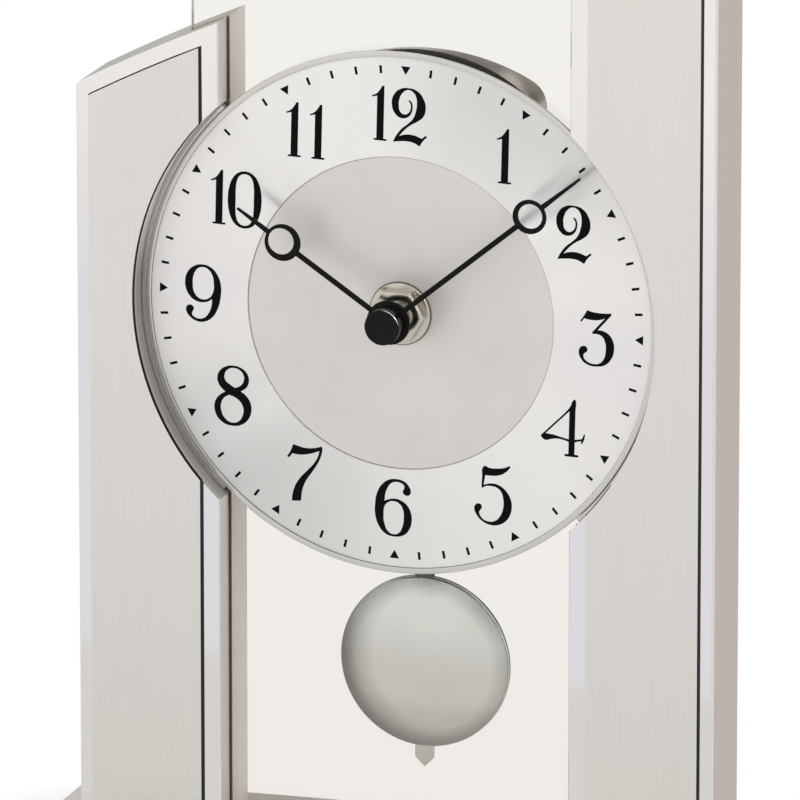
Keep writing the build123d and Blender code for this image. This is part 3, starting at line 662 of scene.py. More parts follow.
def lathe(profile, x, z, steps=128, closed=True):
    """A profile of (radius, y) points turned about an axis along Y."""
    shape = bmesh.new()
    rings = []
    for r, y in profile:
        count = 1 if r < 1e-9 else steps
        turns = [2 * pi * k / steps for k in range(count)]
        rings.append([shape.verts.new((x + r * cos(a), y, z + r * sin(a))) for a in turns])
    for one, two in zip(rings, rings[1:] + (rings[:1] if closed else [])):
        for k in range(steps):
            face = [one[k % len(one)], one[(k + 1) % len(one)], two[(k + 1) % len(two)], two[k % len(two)]]
            face = list(dict.fromkeys(face))
            if len(face) > 2:
                shape.faces.new(face)
    bmesh.ops.recalc_face_normals(shape, faces=shape.faces)
    return finished(shape, bpy.data.meshes.new("turned"))


def circle(r, x=0.0, z=0.0):
    """Four smooth knots, which is all that a round outline needs."""
    return [(x + r * cos(k * pi / 2), z + r * sin(k * pi / 2)) for k in range(4)]


def polar_point(r, clock, corner=True):
    """A point at a clockwise angle from 12."""
    return (r * sin(clock), r * cos(clock)) + ((1,) if corner else ())


# Numeral outlines, in millimetres from each numeral's middle. A third value of 1 marks a corner.
ONE = [
    (0.5, 8.35, 1), (1.1, 8.3, 1), (1.1, -6.9, 1), (1.85, -6.9, 1), (2.1, -7.18), (1.85, -7.45, 1),
    (-1.6, -7.45, 1), (-1.83, -7.18), (-1.6, -6.9, 1), (-0.97, -6.9, 1), (-0.97, 5.35, 1), (-2.35, 4.95, 1),
    (-2.55, 5.25, 1), (-1.17, 6.0), (-0.3, 7.0),
]
TWO = [
    (-0.05, 4.98, 1), (0.65, 4.3), (0.93, 3.1), (0.72, 1.6), (-0.1, 0.25), (-1.9, -0.45), (-3.8, 0.3),
    (-5.23, 3.6), (-4.4, 6.5), (-2.7, 7.95), (-0.5, 8.35), (2.2, 7.75), (4.15, 5.5), (4.77, 2.9), (4.2, 0.7),
    (2.6, -0.9), (0.7, -2.05), (-1.3, -3.75), (-2.85, -5.65, 1), (-1.3, -5.1), (1.3, -5.0), (3.8, -5.75, 1),
    (4.95, -4.78, 1), (5.33, -5.2, 1), (4.2, -6.4), (3.2, -8.05, 1), (1.6, -7.25), (-0.5, -6.95),
    (-2.7, -7.12), (-4.65, -7.42, 1), (-3.8, -5.7), (-2.2, -3.5), (-0.3, -1.85), (1.05, -0.35), (1.85, 1.7),
    (2.17, 4.1), (1.85, 6.1), (0.9, 7.4), (-0.6, 7.8), (-2.1, 6.85), (-3.0, 5.0), (-3.15, 3.1), (-2.7, 1.4),
    (-1.6, 0.7), (-0.35, 1.15), (0.38, 2.6), (0.25, 3.9), (-0.38, 4.75, 1),
]
THREE = [
    (-3.05, 8.25, 1), (-2.2, 8.0), (-0.17, 7.75), (2.2, 7.8), (4.05, 8.0, 1), (3.95, 7.35, 1),
    (0.15, 2.78, 1), (1.7, 2.7), (3.5, 1.8), (4.75, -0.1), (5.07, -2.5), (4.45, -4.9), (2.8, -6.9),
    (0.2, -7.7), (-2.6, -7.4), (-4.5, -5.9), (-5.2, -3.9), (-4.75, -2.6), (-3.9, -2.15), (-3.0, -2.4),
    (-2.68, -3.1), (-2.95, -3.8), (-3.7, -4.45), (-3.75, -5.4), (-2.8, -6.5), (-1.0, -7.05), (0.9, -6.75),
    (2.15, -5.3), (2.65, -3.0), (2.45, -0.6), (1.6, 1.0), (0.2, 1.62), (-1.3, 1.6, 1), (-1.45, 2.05, 1),
    (2.2, 6.4, 1), (0.9, 5.85), (-1.0, 5.55), (-2.8, 5.62), (-3.85, 5.85, 1), (-4.65, 4.72, 1),
    (-5.05, 4.95, 1), (-3.95, 6.6),
]
FOUR = [
    (2.2, 8.8), (2.62, 9.05), (2.93, 8.7), (2.93, 6.0, 1), (2.93, -2.55, 1), (4.1, -2.35), (5.05, -2.1, 1),
    (5.6, -0.7, 1), (5.95, -0.8, 1), (5.65, -2.3), (5.15, -3.6, 1), (4.85, -3.5, 1), (4.8, -2.75, 1),
    (4.0, -2.95), (2.93, -3.3, 1), (2.93, -6.9, 1), (3.9, -6.93, 1), (4.15, -7.25), (3.9, -7.6, 1),
    (0.25, -7.6, 1), (0.0, -7.28), (0.25, -6.95, 1), (1.17, -6.9, 1), (1.17, -3.35, 1), (-0.6, -2.9),
    (-2.4, -2.78), (-4.2, -3.15), (-5.7, -3.5), (-6.6, -2.95), (-7.0, -2.3), (-6.55, -1.75, 1),
    (-0.3, 4.75, 1), (1.35, 6.85),
]
FOUR_HOLE = [(-5.65, -1.55, 1), (1.17, 5.55, 1), (1.17, -2.62, 1), (-1.0, -2.22), (-3.2, -1.75)]
FIVE = [
    (-3.15, 8.4), (-2.6, 8.75), (-1.2, 8.3), (0.8, 8.35), (3.0, 8.75), (4.6, 9.5, 1), (4.95, 9.15, 1),
    (3.6, 7.6), (2.0, 6.6), (0.0, 6.15), (-2.45, 6.1, 1), (-2.85, 3.25, 1), (-0.7, 3.85), (1.4, 3.65),
    (3.6, 2.3), (5.1, 0.1), (5.6, -2.3), (5.15, -4.7), (3.8, -6.8), (1.6, -8.05), (-0.4, -8.25), (-2.8, -7.5),
    (-4.7, -5.7), (-5.45, -3.9), (-5.1, -2.8), (-4.3, -2.35), (-3.5, -2.6), (-3.2, -3.25), (-3.5, -4.0),
    (-3.95, -4.8), (-3.6, -5.9), (-2.5, -6.95), (-0.9, -7.3), (0.7, -6.95), (2.2, -5.4), (3.05, -3.0),
    (3.05, -0.5), (2.3, 1.8), (0.9, 2.85), (-0.8, 3.1), (-2.4, 2.85), (-3.05, 2.4, 1), (-3.48, 2.4, 1),
    (-3.35, 5.5),
]
SIX = [
    (-2.85, 1.85, 1), (-1.6, 2.4), (0.1, 2.75), (2.0, 2.4), (3.9, 1.1), (5.1, -1.2), (5.3, -3.4), (4.7, -5.7),
    (3.1, -7.6), (0.3, -8.3), (-2.4, -7.7), (-4.4, -5.6), (-5.5, -2.6), (-5.65, 0.5), (-5.1, 4.0),
    (-3.6, 6.7), (-1.6, 8.15), (0.6, 8.5), (2.8, 8.05), (4.3, 6.7), (4.85, 5.2), (4.5, 4.3), (3.7, 4.0),
    (2.8, 4.35), (2.45, 5.15), (2.85, 5.95), (2.85, 6.75), (1.9, 7.5), (0.6, 7.72), (-1.0, 7.15), (-2.2, 5.4),
    (-2.75, 3.4),
]
SIX_HOLE = [
    (-0.2, 2.0), (1.5, 1.45), (2.6, 0.0), (2.95, -2.4), (2.6, -5.2), (1.7, -7.0), (0.1, -7.7), (-1.6, -7.0),
    (-2.8, -4.6), (-3.07, -1.8), (-2.8, 0.3), (-1.8, 1.5),
]
SEVEN = [
    (-3.75, 8.65, 1), (-2.4, 8.35), (-0.2, 7.95), (2.4, 8.15), (4.75, 8.85, 1), (5.02, 8.4, 1), (4.85, 6.8),
    (3.9, 4.2), (2.2, 1.3), (0.4, -1.5), (-0.6, -4.0), (-1.05, -7.65, 1), (-3.75, -7.9, 1), (-3.6, -6.0),
    (-2.9, -3.5), (-1.5, -1.0), (0.7, 1.5), (2.7, 3.9), (3.8, 6.1), (4.1, 7.5, 1), (2.4, 6.75), (0.2, 6.1),
    (-2.2, 5.8), (-3.9, 5.95, 1), (-4.85, 4.65, 1), (-5.45, 4.95, 1), (-4.4, 6.7),
]
EIGHT = [
    (-2.3, 0.8, 1), (-3.95, -0.35), (-5.1, -1.9), (-5.45, -3.6), (-4.9, -6.1), (-3.1, -8.1), (-0.2, -8.95),
    (2.9, -8.3), (4.9, -6.3), (5.6, -3.6), (5.0, -1.2), (3.7, 0.4), (2.3, 1.35, 1), (3.75, 2.35), (4.6, 4.0),
    (4.55, 5.6), (3.6, 7.25), (1.9, 8.3), (0.0, 8.6), (-2.2, 8.2), (-4.1, 6.7), (-4.75, 4.8), (-4.3, 2.9),
    (-3.0, 1.4),
]
EIGHT_HIGH = [
    (0.2, 7.95), (-1.7, 7.3), (-2.65, 5.7), (-2.3, 4.1), (-1.0, 3.05), (0.55, 2.15, 1), (2.2, 3.0),
    (3.1, 4.4), (3.05, 6.1), (2.0, 7.4),
]
EIGHT_LOW = [
    (-1.1, 0.0, 1), (-2.6, -1.0), (-3.5, -2.9), (-3.3, -5.1), (-2.1, -7.1), (-0.1, -8.05), (1.9, -7.4),
    (3.1, -5.4), (3.15, -3.4), (2.2, -1.7), (0.7, -0.6),
]
NINE = [
    (2.75, -1.75, 1), (1.5, -2.6), (-0.1, -2.95), (-2.0, -2.7), (-3.9, -1.4), (-5.1, 0.8), (-5.35, 2.6),
    (-4.9, 5.0), (-3.2, 7.1), (-0.4, 8.05), (2.3, 7.4), (4.3, 5.3), (5.3, 2.6), (5.3, -1.0), (4.5, -4.4),
    (2.9, -7.1), (0.4, -8.6), (-1.9, -8.5), (-3.8, -7.4), (-4.9, -5.6), (-4.6, -4.4), (-3.8, -4.0),
    (-2.9, -4.3), (-2.6, -5.1), (-2.95, -5.9), (-3.1, -6.7), (-2.3, -7.5), (-0.9, -7.8), (0.7, -7.3),
    (2.0, -5.6), (2.7, -3.5),
]
NINE_HOLE = [
    (-0.2, 7.3), (-1.9, 6.5), (-2.9, 4.5), (-3.07, 2.2), (-2.7, 0.0), (-1.6, -1.5), (0.0, -2.1), (1.9, -1.5),
    (3.0, 0.2), (3.22, 2.8), (2.75, 5.1), (1.6, 6.7),
]
ZERO = [(5.03, 0.0), (0.0, 8.3), (-5.03, 0.0), (0.0, -8.3)]
ZERO_HOLE = [(2.7, 0.0), (0.0, 7.5), (-2.7, 0.0), (0.0, -7.5)]


def shifted(loop, across, up=0.0):
    return [(point[0] + across, point[1] + up, *point[2:]) for point in loop]


# Each hour's loops, and where its middle lies from the dial's centre, in millimetres
numerals = {
    1: ([ONE], (29.57, 48.17)),
    2: ([TWO], (50.28, 28.25)),
    3: ([THREE], (57.85, -1.2)),
    4: ([FOUR, FOUR_HOLE], (49.25, -28.24)),
    5: ([FIVE], (28.68, -50.1)),
    6: ([SIX, SIX_HOLE], (-0.42, -56.69)),
    7: ([SEVEN], (-27.02, -50.09)),
    8: ([EIGHT, EIGHT_HIGH, EIGHT_LOW], (-48.93, -29.16)),
    9: ([NINE, NINE_HOLE], (-58.47, -0.14)),
    10: ([shifted(ONE, -5.0), shifted(ZERO, 2.63, 0.3), shifted(ZERO_HOLE, 2.63, 0.3)], (-49.23, 27.62)),
    11: ([shifted(ONE, -3.4), shifted(ONE, 3.6)], (-28.96, 49.45)),
    12: ([shifted(ONE, -5.77, -0.45), shifted(TWO, 2.8, -0.4)], (-1.45, 57.25)),
}


def printed(loops):
    """Loops in millimetres from the dial's centre, turned as the print is, as ink on the dial."""
    c, s = cos(print_turn), sin(print_turn)
    turned = [[((u * c + v * s) * MM, (v * c - u * s) * MM, *kind) for u, v, *kind in loop] for loop in loops]
    return sheet_mesh(turned, dial_x, dial_z, dial_y - ink_t, dial_y + ink_sink)


def stroke(minute, r, wide, long, ends):
    """A tick or mark. Its corners are told in half widths and half lengths from its middle."""
    clock = 2 * pi * minute / 60
    side = Vector(polar_point(1.0, clock + pi / 2, corner=False))
    out = Vector(polar_point(1.0, clock, corner=False))
    middle = out * (r / MM)
    corners = [middle + side * (a * wide / 2 / MM) + out * (b * long / 2 / MM) for a, b in ends]
    return printed([[(*corner, 1) for corner in corners]])


def make_print(ink):
    for hour, (loops, (across, up)) in numerals.items():
        mesh = printed([shifted(loop, across, up) for loop in loops])
        new_piece(f"numeral_{hour}", mesh, ink, "stand")
    ticks = []
    marks = []
    for minute in range(60):
        if minute % 5:
            ticks.append(stroke(minute, tick_r, tick_wide, tick_long, [(-1, -1), (1, -1), (1, 1), (-1, 1)]))
        else:
            marks.append(stroke(minute, mark_r, mark_wide, mark_long, [(0, -1), (1, 1), (-1, 1)]))
    new_piece("minute_ticks", merged("minute_ticks", ticks), ink, "stand")
    new_piece("hour_marks", merged("hour_marks", marks), ink, "stand")


def hand_loops(tip_r, ring_r, ring_out_r, hole_r, hole_shift, hub_r, bore_r, clock):
    """One outline from hub to tip round the ring, with the hole in the ring and the hub's bore."""
    def at(across, up, corner):
        """A point told across and along the hand."""
        c, s = cos(clock), sin(clock)
        return (across * c + up * s, up * c - across * s) + ((1,) if corner else ())

    half = hand_shaft_w / 2
    tip = hand_tip_w / 2
    point = hand_point_w / 2
    hub_rise = sqrt(hub_r**2 - half**2)
    ring_low = ring_r - sqrt(ring_out_r**2 - half**2)
    ring_high = ring_r + sqrt(ring_out_r**2 - point**2)
    hub_open = pi - asin(half / hub_r)
    steps = 14
    start = asin(half / ring_out_r)
    end = pi - asin(point / ring_out_r)
    ring_turns = [start + (end - start) * k / steps for k in range(1, steps)]
    right = [(half, hub_rise, True), (half, ring_low, True)]
    right += [(ring_out_r * sin(a), ring_r - ring_out_r * cos(a), False) for a in ring_turns]
    right += [(point, ring_high, True), (tip, tip_r, True)]
    left = [(-across, up, corner) for across, up, corner in reversed(right)]
    hub_turns = [hub_open * (1 - 2 * k / 24) for k in range(1, 24)]
    hub = [(-hub_r * sin(a), -hub_r * cos(a), False) for a in hub_turns]
    middle = at(0.0, ring_r + hole_shift, False)
    return [[at(*each) for each in right + left + hub], circle(hole_r, *middle), circle(bore_r)]


def make_hands(black):
    for body, sizes in hands.items():
        node = body + "_hand"
        low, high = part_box(node)
        mesh = sheet_mesh(hand_loops(*sizes), dial_x, dial_z, low.y, high.y, edge=hand_round)
        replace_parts(new_piece("painted_" + node, mesh, black, body), node)


def make_cap(black):
    low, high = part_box("hand_cap")
    r = (high.x - low.x) / 2
    bore = minute_bore_r + fit_gap
    seat = high.y - cap_seat
    dish = low.y + cap_dish
    points = [(0.0, dish), (r * cap_dish_share, dish), (r * cap_lip_share, low.y), (r, low.y), (r, high.y),
              (bore, high.y), (bore, seat), (0.0, seat)]
    radii = [0, 0.05 * MM, 0.05 * MM, cap_round, 0.1 * MM, 0.1 * MM, 0, 0]
    mesh = lathe(soften(points, radii), dial_x, dial_z, closed=False)
    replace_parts(new_piece("round_cap", mesh, black, "minute"), "hand_cap")


def make_collet(nickel):
    """The bright bush on which the minute hand is riveted. It shows between the two hubs."""
    low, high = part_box("minute_hand")
    back = high.y + collet_t
    bore = minute_bore_r + fit_gap
    points = [(bore, high.y), (collet_r, high.y), (collet_r, back), (bore, back)]
    mesh = lathe(soften(points, [0, 0, 0.2 * MM, 0.1 * MM]), dial_x, dial_z)
    new_piece("minute_collet", mesh, nickel, "minute")


def make_rim(finish):
    low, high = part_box("dial_rim")
    r = (high.x - low.x) / 2
    bore = chapter_r + fit_gap
    sleeve = bore + rim_sleeve
    flange = low.y + rim_flange
    points = [(bore, low.y), (r, low.y), (r, flange), (sleeve, flange), (sleeve, high.y), (bore, high.y)]
    mesh = lathe(soften(points, [0.03 * MM, rim_round, 0.1 * MM, 0.1 * MM, 0, 0]), dial_x, dial_z, steps=256)
    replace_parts(new_piece("rolled_rim", mesh, finish, "stand"), "dial_rim")


def make_dial_plate(finish):
    """The turned plate under the ring. A hair of air keeps its rear off the pane."""
    low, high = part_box("dial_plate")
    r = (high.x - low.x) / 2
    back = high.y - plate_air
    points = [(bushing_r, low.y), (r, low.y), (r, back), (bushing_r, back)]
    mesh = lathe(soften(points, [0.05 * MM, 0.05 * MM, 0.2 * MM, 0.05 * MM]), dial_x, dial_z, steps=256)
    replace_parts(new_piece("turned_dial_plate", mesh, finish, "stand"), "dial_plate")


def make_linings(finish):
    """Bright strips in the recess round the dial, where it is sunk in the two pillars."""
    inner_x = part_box("right_pillar")[0].x
    start = asin((inner_x + 0.2 * MM) / lining_in_r)
    steps = 24
    for side, name in ((-1, "left"), (1, "right")):
        turns = [side * (start + (pi - 2 * start) * k / steps) for k in range(steps + 1)]
        ends = (0, steps)
        outer = [polar_point(lining_out_r, a, k in ends) for k, a in enumerate(turns)]
        inner = [polar_point(lining_in_r, a, k in ends) for k, a in enumerate(turns)]
        mesh = sheet_mesh([outer + inner[::-1]], dial_x, dial_z, lining_front, lining_back, edge=0.08 * MM)
        new_piece(f"{name}_recess_lining", mesh, finish, "stand")


def make_dark_edge_line(side, finish):
    """A thin dark bead along a brushed plate's edges, apart from those that look to the lower left."""
    shape = bmesh.new()
    shape.from_mesh(nodes[f"{side}_brushed_plate"].data)
    bmesh.ops.remove_doubles(shape, verts=shape.verts, dist=0.001 * MM)
    bmesh.ops.recalc_face_normals(shape, faces=shape.faces)
    others = [face for face in shape.faces
              if abs(face.normal.y) > 0.5 or face.normal.dot(dark_edge_way) < dark_edge_limit]
    bmesh.ops.delete(shape, geom=others, context="FACES")
    shape.normal_update()
    shape.verts.index_update()
    points = [vert.co.copy() for vert in shape.verts]
    points += [vert.co + vert.normal * dark_edge_t for vert in shape.verts]
    skins = [[vert.index for vert in face.verts] for face in shape.faces]
    count = len(shape.verts)
    shape.free()
    # The skin on the plate, the skin outside it, and a wall along each open edge
    sides = [pair for skin in skins for pair in zip(skin, skin[1:] + skin[:1])]
    faces = [skin[::-1] for skin in skins] + [[k + count for k in skin] for skin in skins]
    faces += [(b + count, a + count, a, b) for a, b in sides if (b, a) not in sides]
    mesh = bpy.data.meshes.new("dark_edge")
    mesh.from_pydata(points, [], faces)
    new_piece(f"{side}_dark_edge_line", mesh, finish, "stand")


def make_slot_shades(finish):
    """Painted shade: dark strips in front of the pane, where it enters the pillars above and below the dial.
    """
    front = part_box("glass_pane")[0].y
    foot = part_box("right_pillar")[0]
    drop = sqrt(recess_r**2 - foot.x**2)
    for side, name in ((-1, "left"), (1, "right")):
        points = [vert.co for vert in nodes[f"{name}_pillar"].data.vertices]
        top = max(point.z for point in points if abs(point.x - side * foot.x) < 0.01 * MM)
        for part, low, high in (("low", foot.z, dial_z - drop), ("high", dial_z + drop, top)):
            ends = [(foot.x - slot_shade_wide, low), (foot.x, low), (foot.x, high), (foot.x - slot_shade_wide, high)]
            bar = [(side * across, up, 1) for across, up in ends]
            mesh = sheet_mesh([bar], 0.0, 0.0, front - slot_shade_t, front - slot_shade_air, edge=0.06 * MM)
            new_piece(f"{name}_slot_shade_{part}", mesh, finish, "stand")


def make_washer(nickel):
    low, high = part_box("centre_washer")
    r = (high.x - low.x) / 2
    points = [(bushing_r, low.y), (r, low.y), (r, high.y), (bushing_r, high.y)]
    radii = [washer_round / 2, washer_round, 0.05 * MM, 0.05 * MM]
    mesh = lathe(soften(points, radii), dial_x, dial_z)
    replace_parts(new_piece("turned_washer", mesh, nickel, "stand"), "centre_washer")


def make_washer_foot_shadow(rubber):
    """Painted shade: a thin dark ring round the washer's foot, where shade falls."""
    low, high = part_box("centre_washer")
    r = (high.x - low.x) / 2 + 0.01 * MM
    front = high.y - washer_foot_shadow_t
    points = [(r, front), (washer_foot_shadow_r, front), (washer_foot_shadow_r, high.y), (r, high.y)]
    mesh = lathe(soften(points, [0, 0.08 * MM, 0, 0]), dial_x, dial_z)
    new_piece("washer_foot_shadow", mesh, rubber, "stand")


def make_nut(nickel):
    low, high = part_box("centre_nut")
    flat = (high.z - low.z) / 2
    corner = flat / cos(pi / 6)
    turns = [pi / 6 + k * pi / 3 for k in range(6)]
    hexagon = [(corner * cos(a + pi / 6), corner * sin(a + pi / 6), 1) for a in turns]
    mesh = sheet_mesh([hexagon, circle(bushing_r)], dial_x, dial_z, low.y, high.y, edge=nut_round)
    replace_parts(new_piece("hex_nut", mesh, nickel, "stand"), "centre_nut")


def make_bob(satin):
    """A pressed shell: a shallow ball cap whose rim turns back."""
    low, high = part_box("bob_front")
    x, z = (low.x + high.x) / 2, (low.z + high.z) / 2
    r = (high.x - low.x) / 2
    crown = high.y - bob_skirt - low.y
    ball = (r**2 + crown**2) / (2 * crown)
    steps = 28
    reach = r - bob_lip
    across = [reach * k / steps for k in range(steps + 1)]
    outer = [(p, low.y + ball - sqrt(ball**2 - p**2)) for p in across]
    inner = [(p, y + bob_sheet) for p, y in reversed(outer)]
    lip_y = outer[-1][1]
    turns = [pi / 12 * k for k in range(2, 7)]
    bend = [(reach + bob_lip * sin(a), lip_y + bob_lip * (1 - cos(a))) for a in turns]
    foot = [(r, high.y), (r - bob_sheet, high.y)]
    mesh = lathe(outer + bend + foot + inner[1:], x, z, steps=192, closed=False)
    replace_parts(new_piece("bob_shell", mesh, satin, "pendulum", 40.0), "bob_front")


def strip_material():
    """Satin aluminium with a painted shadow of the rim that darkens it above the bob."""
    material, tree = blank_material("satin_strip")
    bob_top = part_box("bob_front")[1].z
    # Painted shadow: the strip turns dark from just below the bob's top upwards.
    dark = spread(tree, spot(tree)["Z"], 0.0, 1.0, bob_top - strip_shadow_start, bob_top - strip_shadow_end)
    fine = grain(tree, 3800.0)
    fleck = mixed(tree, fine, srgb(236, 239, 239), srgb(243, 246, 246))
    close(tree, {
        "Base Color": mixed(tree, dark, fleck, srgb(58, 56, 50)),
        "Metallic": spread(tree, dark, 1.0, 0.3),
        "Roughness": spread(tree, fine, 0.22, 0.3),
    })
    return material


def make_strip(satin):
    """The flat rod with its pointed end, and a hole for the hanger's peg."""
    low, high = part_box("pendulum_rod")
    half = (high.x - low.x) / 2
    shoulder = low.z + strip_point
    corners = [(-half, high.z), (half, high.z), (half, shoulder), (0.0, low.z), (-half, shoulder)]
    outline = [(*corner, 1) for corner in corners]
    peg_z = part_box("pendulum_hanger")[0].z + peg_up
    mesh = sheet_mesh([outline, circle(peg_r, 0.0, peg_z)], 0.0, 0.0, low.y, high.y, edge=strip_round)
    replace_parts(new_piece("pendulum_strip", mesh, satin, "pendulum"), "pendulum_rod")


def make_cover_screws(steel):
    """Pan heads with a cross recess, sunk in the rear cover."""
    low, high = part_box("cover_screws")
    head_r = 2.0 * MM
    head_t = 1.0 * MM
    top_t = 0.55 * MM
    slot = 0.28 * MM
    reach = 1.15 * MM
    shank_r = 1.1 * MM
    cross = [(slot, slot), (slot, reach), (-slot, reach), (-slot, slot), (-reach, slot), (-reach, -slot),
             (-slot, -slot), (-slot, -reach), (slot, -reach), (slot, -slot), (reach, -slot), (reach, slot)]
    side_x = high.x - head_r
    places = [(0.0, high.z - head_r), (-side_x, low.z + head_r), (side_x, low.z + head_r)]
    skirt_y = high.y - top_t
    for number, (x, z) in enumerate(places, 1):
        top = sheet_mesh([circle(head_r), [(*p, 1) for p in cross]], x, z, skirt_y, high.y, edge=0.12 * MM)
        points = [(0.0, skirt_y), (head_r, skirt_y), (head_r, high.y - head_t), (shank_r, high.y - head_t),
                  (shank_r, low.y), (0.0, low.y)]
        radii = [0, 0.02 * MM, 0.02 * MM, 0, 0.2 * MM, 0]
        low_part = lathe(soften(points, radii), x, z, steps=48, closed=False)
        whole = merged("screw", [top, low_part])
        piece = new_piece(f"cover_screw_{number}", whole, steel, "stand")
        if number == 1:
            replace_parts(piece, "cover_screws")


def make_battery(sleeve, steel):
    """A cell that lies along X: a sleeve rolled over both ends of the can, and the can with its nub."""
    low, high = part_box("battery")
    y, z = (low.y + high.y) / 2, (low.z + high.z) / 2
    r = (high.z - low.z) / 2
    nub_t = 1.0 * MM
    nub_r = 2.75 * MM
    can_end = high.x - nub_t
    roll = 0.7 * MM
    lip = 1.3 * MM
    sink = 0.25 * MM
    wrap = [(r - lip, low.x), (r, low.x), (r, can_end), (r - lip, can_end), (r - lip, can_end - sink),
            (r - 2 * sink, can_end - 2 * sink), (r - 2 * sink, low.x + 2 * sink), (r - lip, low.x + sink)]
    wrap_r = [0.1 * MM, roll, roll, 0.1 * MM, 0, 0, 0, 0]
    can = [(0.0, low.x + sink), (r - lip + sink, low.x + sink), (r - lip + sink, can_end - sink),
           (nub_r, can_end - sink), (nub_r, high.x), (0.0, high.x)]
    can_r = [0, 0.05 * MM, 0.05 * MM, 0.2 * MM, 0.4 * MM, 0]
    along_x = Matrix.Translation((0, y, z)) @ Matrix.Rotation(-pi / 2, 4, "Z")
    for name, points, radii, material, closed in (
        ("battery_wrap", wrap, wrap_r, sleeve, True), ("battery_can", can, can_r, steel, False)
    ):
        mesh = lathe(soften(points, radii), 0.0, 0.0, steps=96, closed=closed)
        mesh.transform(along_x)
        piece = new_piece(name, mesh, material, "cell")
        if name == "battery_wrap":
            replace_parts(piece, "battery")


# Stage

def make_floor():
    mesh = bpy.data.meshes.new("floor")
    corners = [(-1, -1), (1, -1), (1, 1), (-1, 1)]
    mesh.from_pydata([(x * floor_half, y * floor_half, 0.0) for x, y in corners], [], [(0, 1, 2, 3)])
    mesh.materials.append(floor_material())
    floor = put("floor", mesh)


def from_angles(azimuth, elevation):
    """The direction of a place told in degrees."""
    a, e = radians(azimuth), radians(elevation)
    return Vector((sin(a) * cos(e), -cos(a) * cos(e), sin(e)))


def aimed(name, data, azimuth, elevation, far):
    """A lamp or camera that looks at the target."""
    away = from_angles(azimuth, elevation)
    made = put(name, data)
    made.location = target + away * far
    made.rotation_mode = "QUATERNION"
    made.rotation_quaternion = away.to_track_quat("Z", "Y")
    return made


def make_lamp(name, azimuth, elevation, size, watts, in_gloss):
    data = bpy.data.lights.new(name, "AREA")
    data.shape = "DISK"
    data.size = size
    data.energy = watts
    aimed(name, data, azimuth, elevation, lamp_distance).visible_glossy = in_gloss


def make_world():
    """Soft light all round. Gloss sees a white studio with dim patches, a bright place in the rear one, and a
    spark where the fill lamp is."""
    world = bpy.data.worlds.new("studio")
    bpy.context.scene.world = world
    world.use_nodes = True
    tree = world.node_tree
    tree.nodes.clear()
    seen, mirrored = seen_and_mirrored(tree)
    way = add(tree, "TexCoord").outputs["Generated"]

    def patch(azimuth, elevation, wide, narrow, outside, inside):
        """A round soft-edged patch of the sky."""
        match = along(tree, way, from_angles(azimuth, elevation))
        return spread(tree, match, outside, inside, cos(radians(wide)), cos(radians(narrow)))

    dimmed = product(tree, *[patch(*each) for each in dim_patches])
    lit = calc(tree, "MAXIMUM", dimmed, patch(*rear_patch))
    gloss = mixed(tree, lit, (0.0, 0.0, 0.0, 1.0), white)
    matt = (*[world_diffuse] * 3, 1.0)
    colour = mixed(tree, seen, mixed(tree, mirrored, matt, gloss), white)
    spark = product(tree, mirrored, patch(*spark_patch))
    light = add(tree, "Background", {"Color": colour, "Strength": calc(tree, "ADD", spark, 1.0)})
    add(tree, "OutputWorld", {"Surface": light.outputs[0]})


def make_camera():
    data = bpy.data.cameras.new("camera")
    data.lens = lens
    data.sensor_width = sensor
    data.clip_end = 100.0
    bpy.context.scene.camera = aimed("camera", data, view_azimuth, view_elevation, view_distance)


make_camera()
make_floor()
make_world()
for name, settings in lamps.items():
    make_lamp(name, *settings)
bpy.context.scene.view_settings.view_transform = "Standard"

# Finishes
side_lacquer = srgb(203, 192, 185)
left_lacquer_painted_lit = pillar_material("left_lacquer_painted_lit", srgb(249, 244, 239), 0.85)
right_lacquer = pillar_material("right_lacquer", side_lacquer, 1.0)
base_lacquer = surface("base_lacquer", srgb(222, 219, 215), 0.4, 0.15, 0.03, 1500.0, relief=0.01)
polished = polished_material()
brushed = brushed_plate_material()
pane = glass_material()
dull = {"Specular IOR Level": 0.1}
black = surface("satin_black", srgb(17, 17, 15), 0.3, 0.0, 0.1, 2200.0, relief=0.004, extra=dull)
ink = surface("printing_ink", srgb(10, 10, 9), 0.45, 0.0, 0.08, 2500.0, relief=0.004,
              extra={"Specular IOR Level": 0.06})
nickel = surface("nickel", srgb(203, 199, 187), 0.2, 1.0, 0.05, 1500.0, relief=0.005)
steel = surface("zinc_steel", srgb(178, 178, 176), 0.3, 1.0, 0.05, 1500.0, relief=0.008)
copper = surface("enamelled_copper", srgb(176, 96, 52), 0.35, 1.0, 0.12, 3500.0, (0.08, 1, 1), 0.03)
black_plastic = surface("black_plastic", srgb(38, 38, 38), 0.5, 0.0, 0.12, 1500.0, relief=0.03)
tray_plastic = surface("tray_plastic", srgb(30, 30, 27), 0.5, 0.0, 0.1, 1200.0, relief=0.02, extra=dull)
cover_finish = surface("cover_lacquer", srgb(200, 190, 184), 0.2, 0.92, 0.05, 1600.0, relief=0.01)
ivory_plastic = surface("ivory_plastic", srgb(226, 222, 208), 0.45, 0.0, 0.04, 1200.0, relief=0.01)
rotor_finish = surface("rotor_ferrite", srgb(70, 68, 66), 0.5, 0.2, 0.12, 1600.0, relief=0.02)
board_finish = surface("solder_mask", srgb(32, 84, 50), 0.35, 0.0, 0.15, 900.0, relief=0.02)
rubber = surface("foot_rubber", srgb(34, 34, 34), 0.85, 0.0, 0.15, 900.0, relief=0.05)
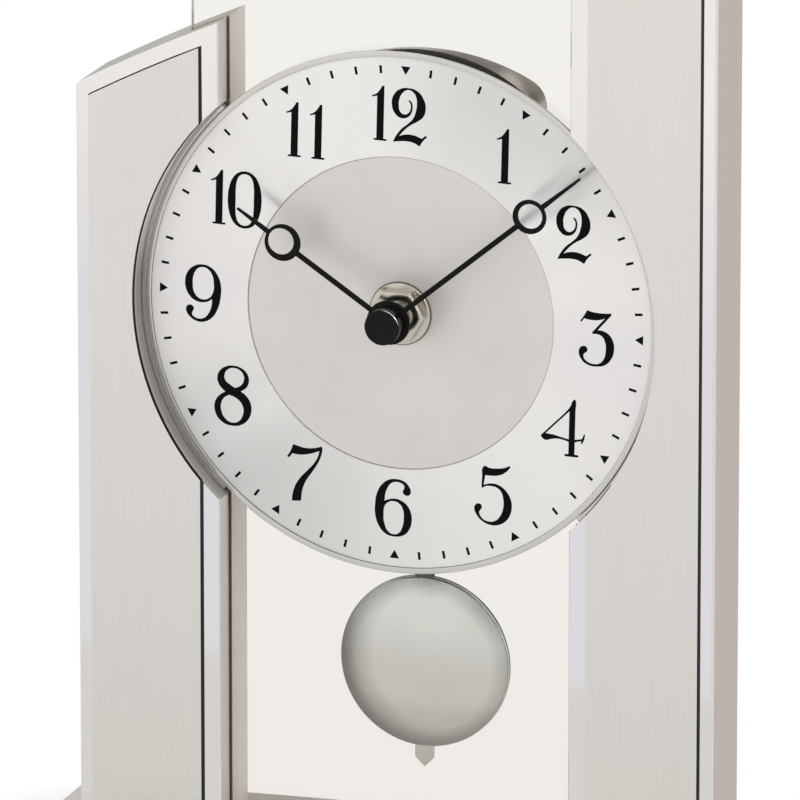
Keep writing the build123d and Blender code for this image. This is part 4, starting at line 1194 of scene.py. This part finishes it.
# The rim carries painted shade on its bore.
rim_finish = turned_material("rim_aluminium", srgb(208, 207, 204), srgb(220, 219, 216), 0.24, 0.005, 0.0,
                             bore_painted_shade=chapter_r + 0.07 * MM)
ring_points = [(vert.co.x - dial_x, vert.co.z - dial_z) for vert in nodes["chapter_ring"].data.vertices]
ring_in_r = min(sqrt(across**2 + up**2) for across, up in ring_points)
# Painted shadow: a dark band on the dial plate just inside the ring's inner edge.
ring_foot_shadow = (0.0, 0.0, ring_in_r - ring_foot_shadow_w / 3, ring_in_r - ring_foot_shadow_w, ring_foot_shadow_share)
dial_finish = turned_material("satin_dial", srgb(228, 225, 222), srgb(235, 231, 228), 0.5, 0.004, 0.0, 8.0,
                              painted_shades=(ring_foot_shadow,))
# The ring's tone carries painted shade at the places listed above.
chapter_finish = turned_material("brushed_ring", srgb(251, 250, 248), srgb(255, 254, 252), 0.36, 0.004, 0.95,
                                 painted_shades=ring_painted_shades)

nodes_by_finish = (
    (base_lacquer, "base"),
    (left_lacquer_painted_lit, "left_pillar"),
    (right_lacquer, "right_pillar"),
    (polished, "left_trim_plate", "right_trim_plate"),
    (brushed, "left_brushed_plate", "right_brushed_plate"),
    (pane, "glass_pane"),
    (chapter_finish, "chapter_ring"),
    (nickel, "centre_bushing", "plus_contact", "minus_contact", "drive_magnet"),
    (steel, "pillar_screws", "minute_arbor", "stator", "quartz_crystal", "case_screws", "pivot_pin"),
    (copper, "motor_coil", "drive_coil"),
    (ivory_plastic, "hour_wheel", "motion_wheel", "centre_wheel", "third_wheel"),
    (black_plastic, "case_front", "case_rear", "setting_knob", "pendulum_hanger", "bob_back"),
    (rubber, "feet"),
    (rotor_finish, "rotor"),
    (board_finish, "circuit_board"),
    (tray_plastic, "mounting_tray"),
    (cover_finish, "rear_cover"),
)
for finish, *names in nodes_by_finish:
    for name in names:
        slots = nodes[name].material_slots
        for slot in slots:
            slot.material = finish
        if not slots:
            nodes[name].data.materials.append(finish)

make_print(ink)
make_hands(black)
make_cap(cap_material())
make_collet(nickel)
make_rim(rim_finish)
make_dial_plate(dial_finish)
make_linings(surface("lining_aluminium", srgb(206, 204, 200), 0.1, 1.0, 0.04, 1600.0, relief=0.003))
make_dark_edge_line("left", ink)
make_dark_edge_line("right", ink)
# Painted shade for the slots where the pane enters the pillars.
make_slot_shades(surface("slot_shade_finish", srgb(66, 51, 40), 0.55, 0.15, 0.6, 1300.0, relief=0.03))
make_washer(nickel)
make_nut(nickel)
# Painted shade round the washer's foot.
make_washer_foot_shadow(surface("washer_foot_shadow_finish", srgb(104, 94, 84), 0.7, 0.0, 0.08, 1500.0))
make_bob(bob_material())
make_strip(strip_material())
make_cover_screws(steel)
battery_low, battery_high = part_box("battery")
make_battery(battery_sleeve_material(battery_low.x, battery_high.x), steel)
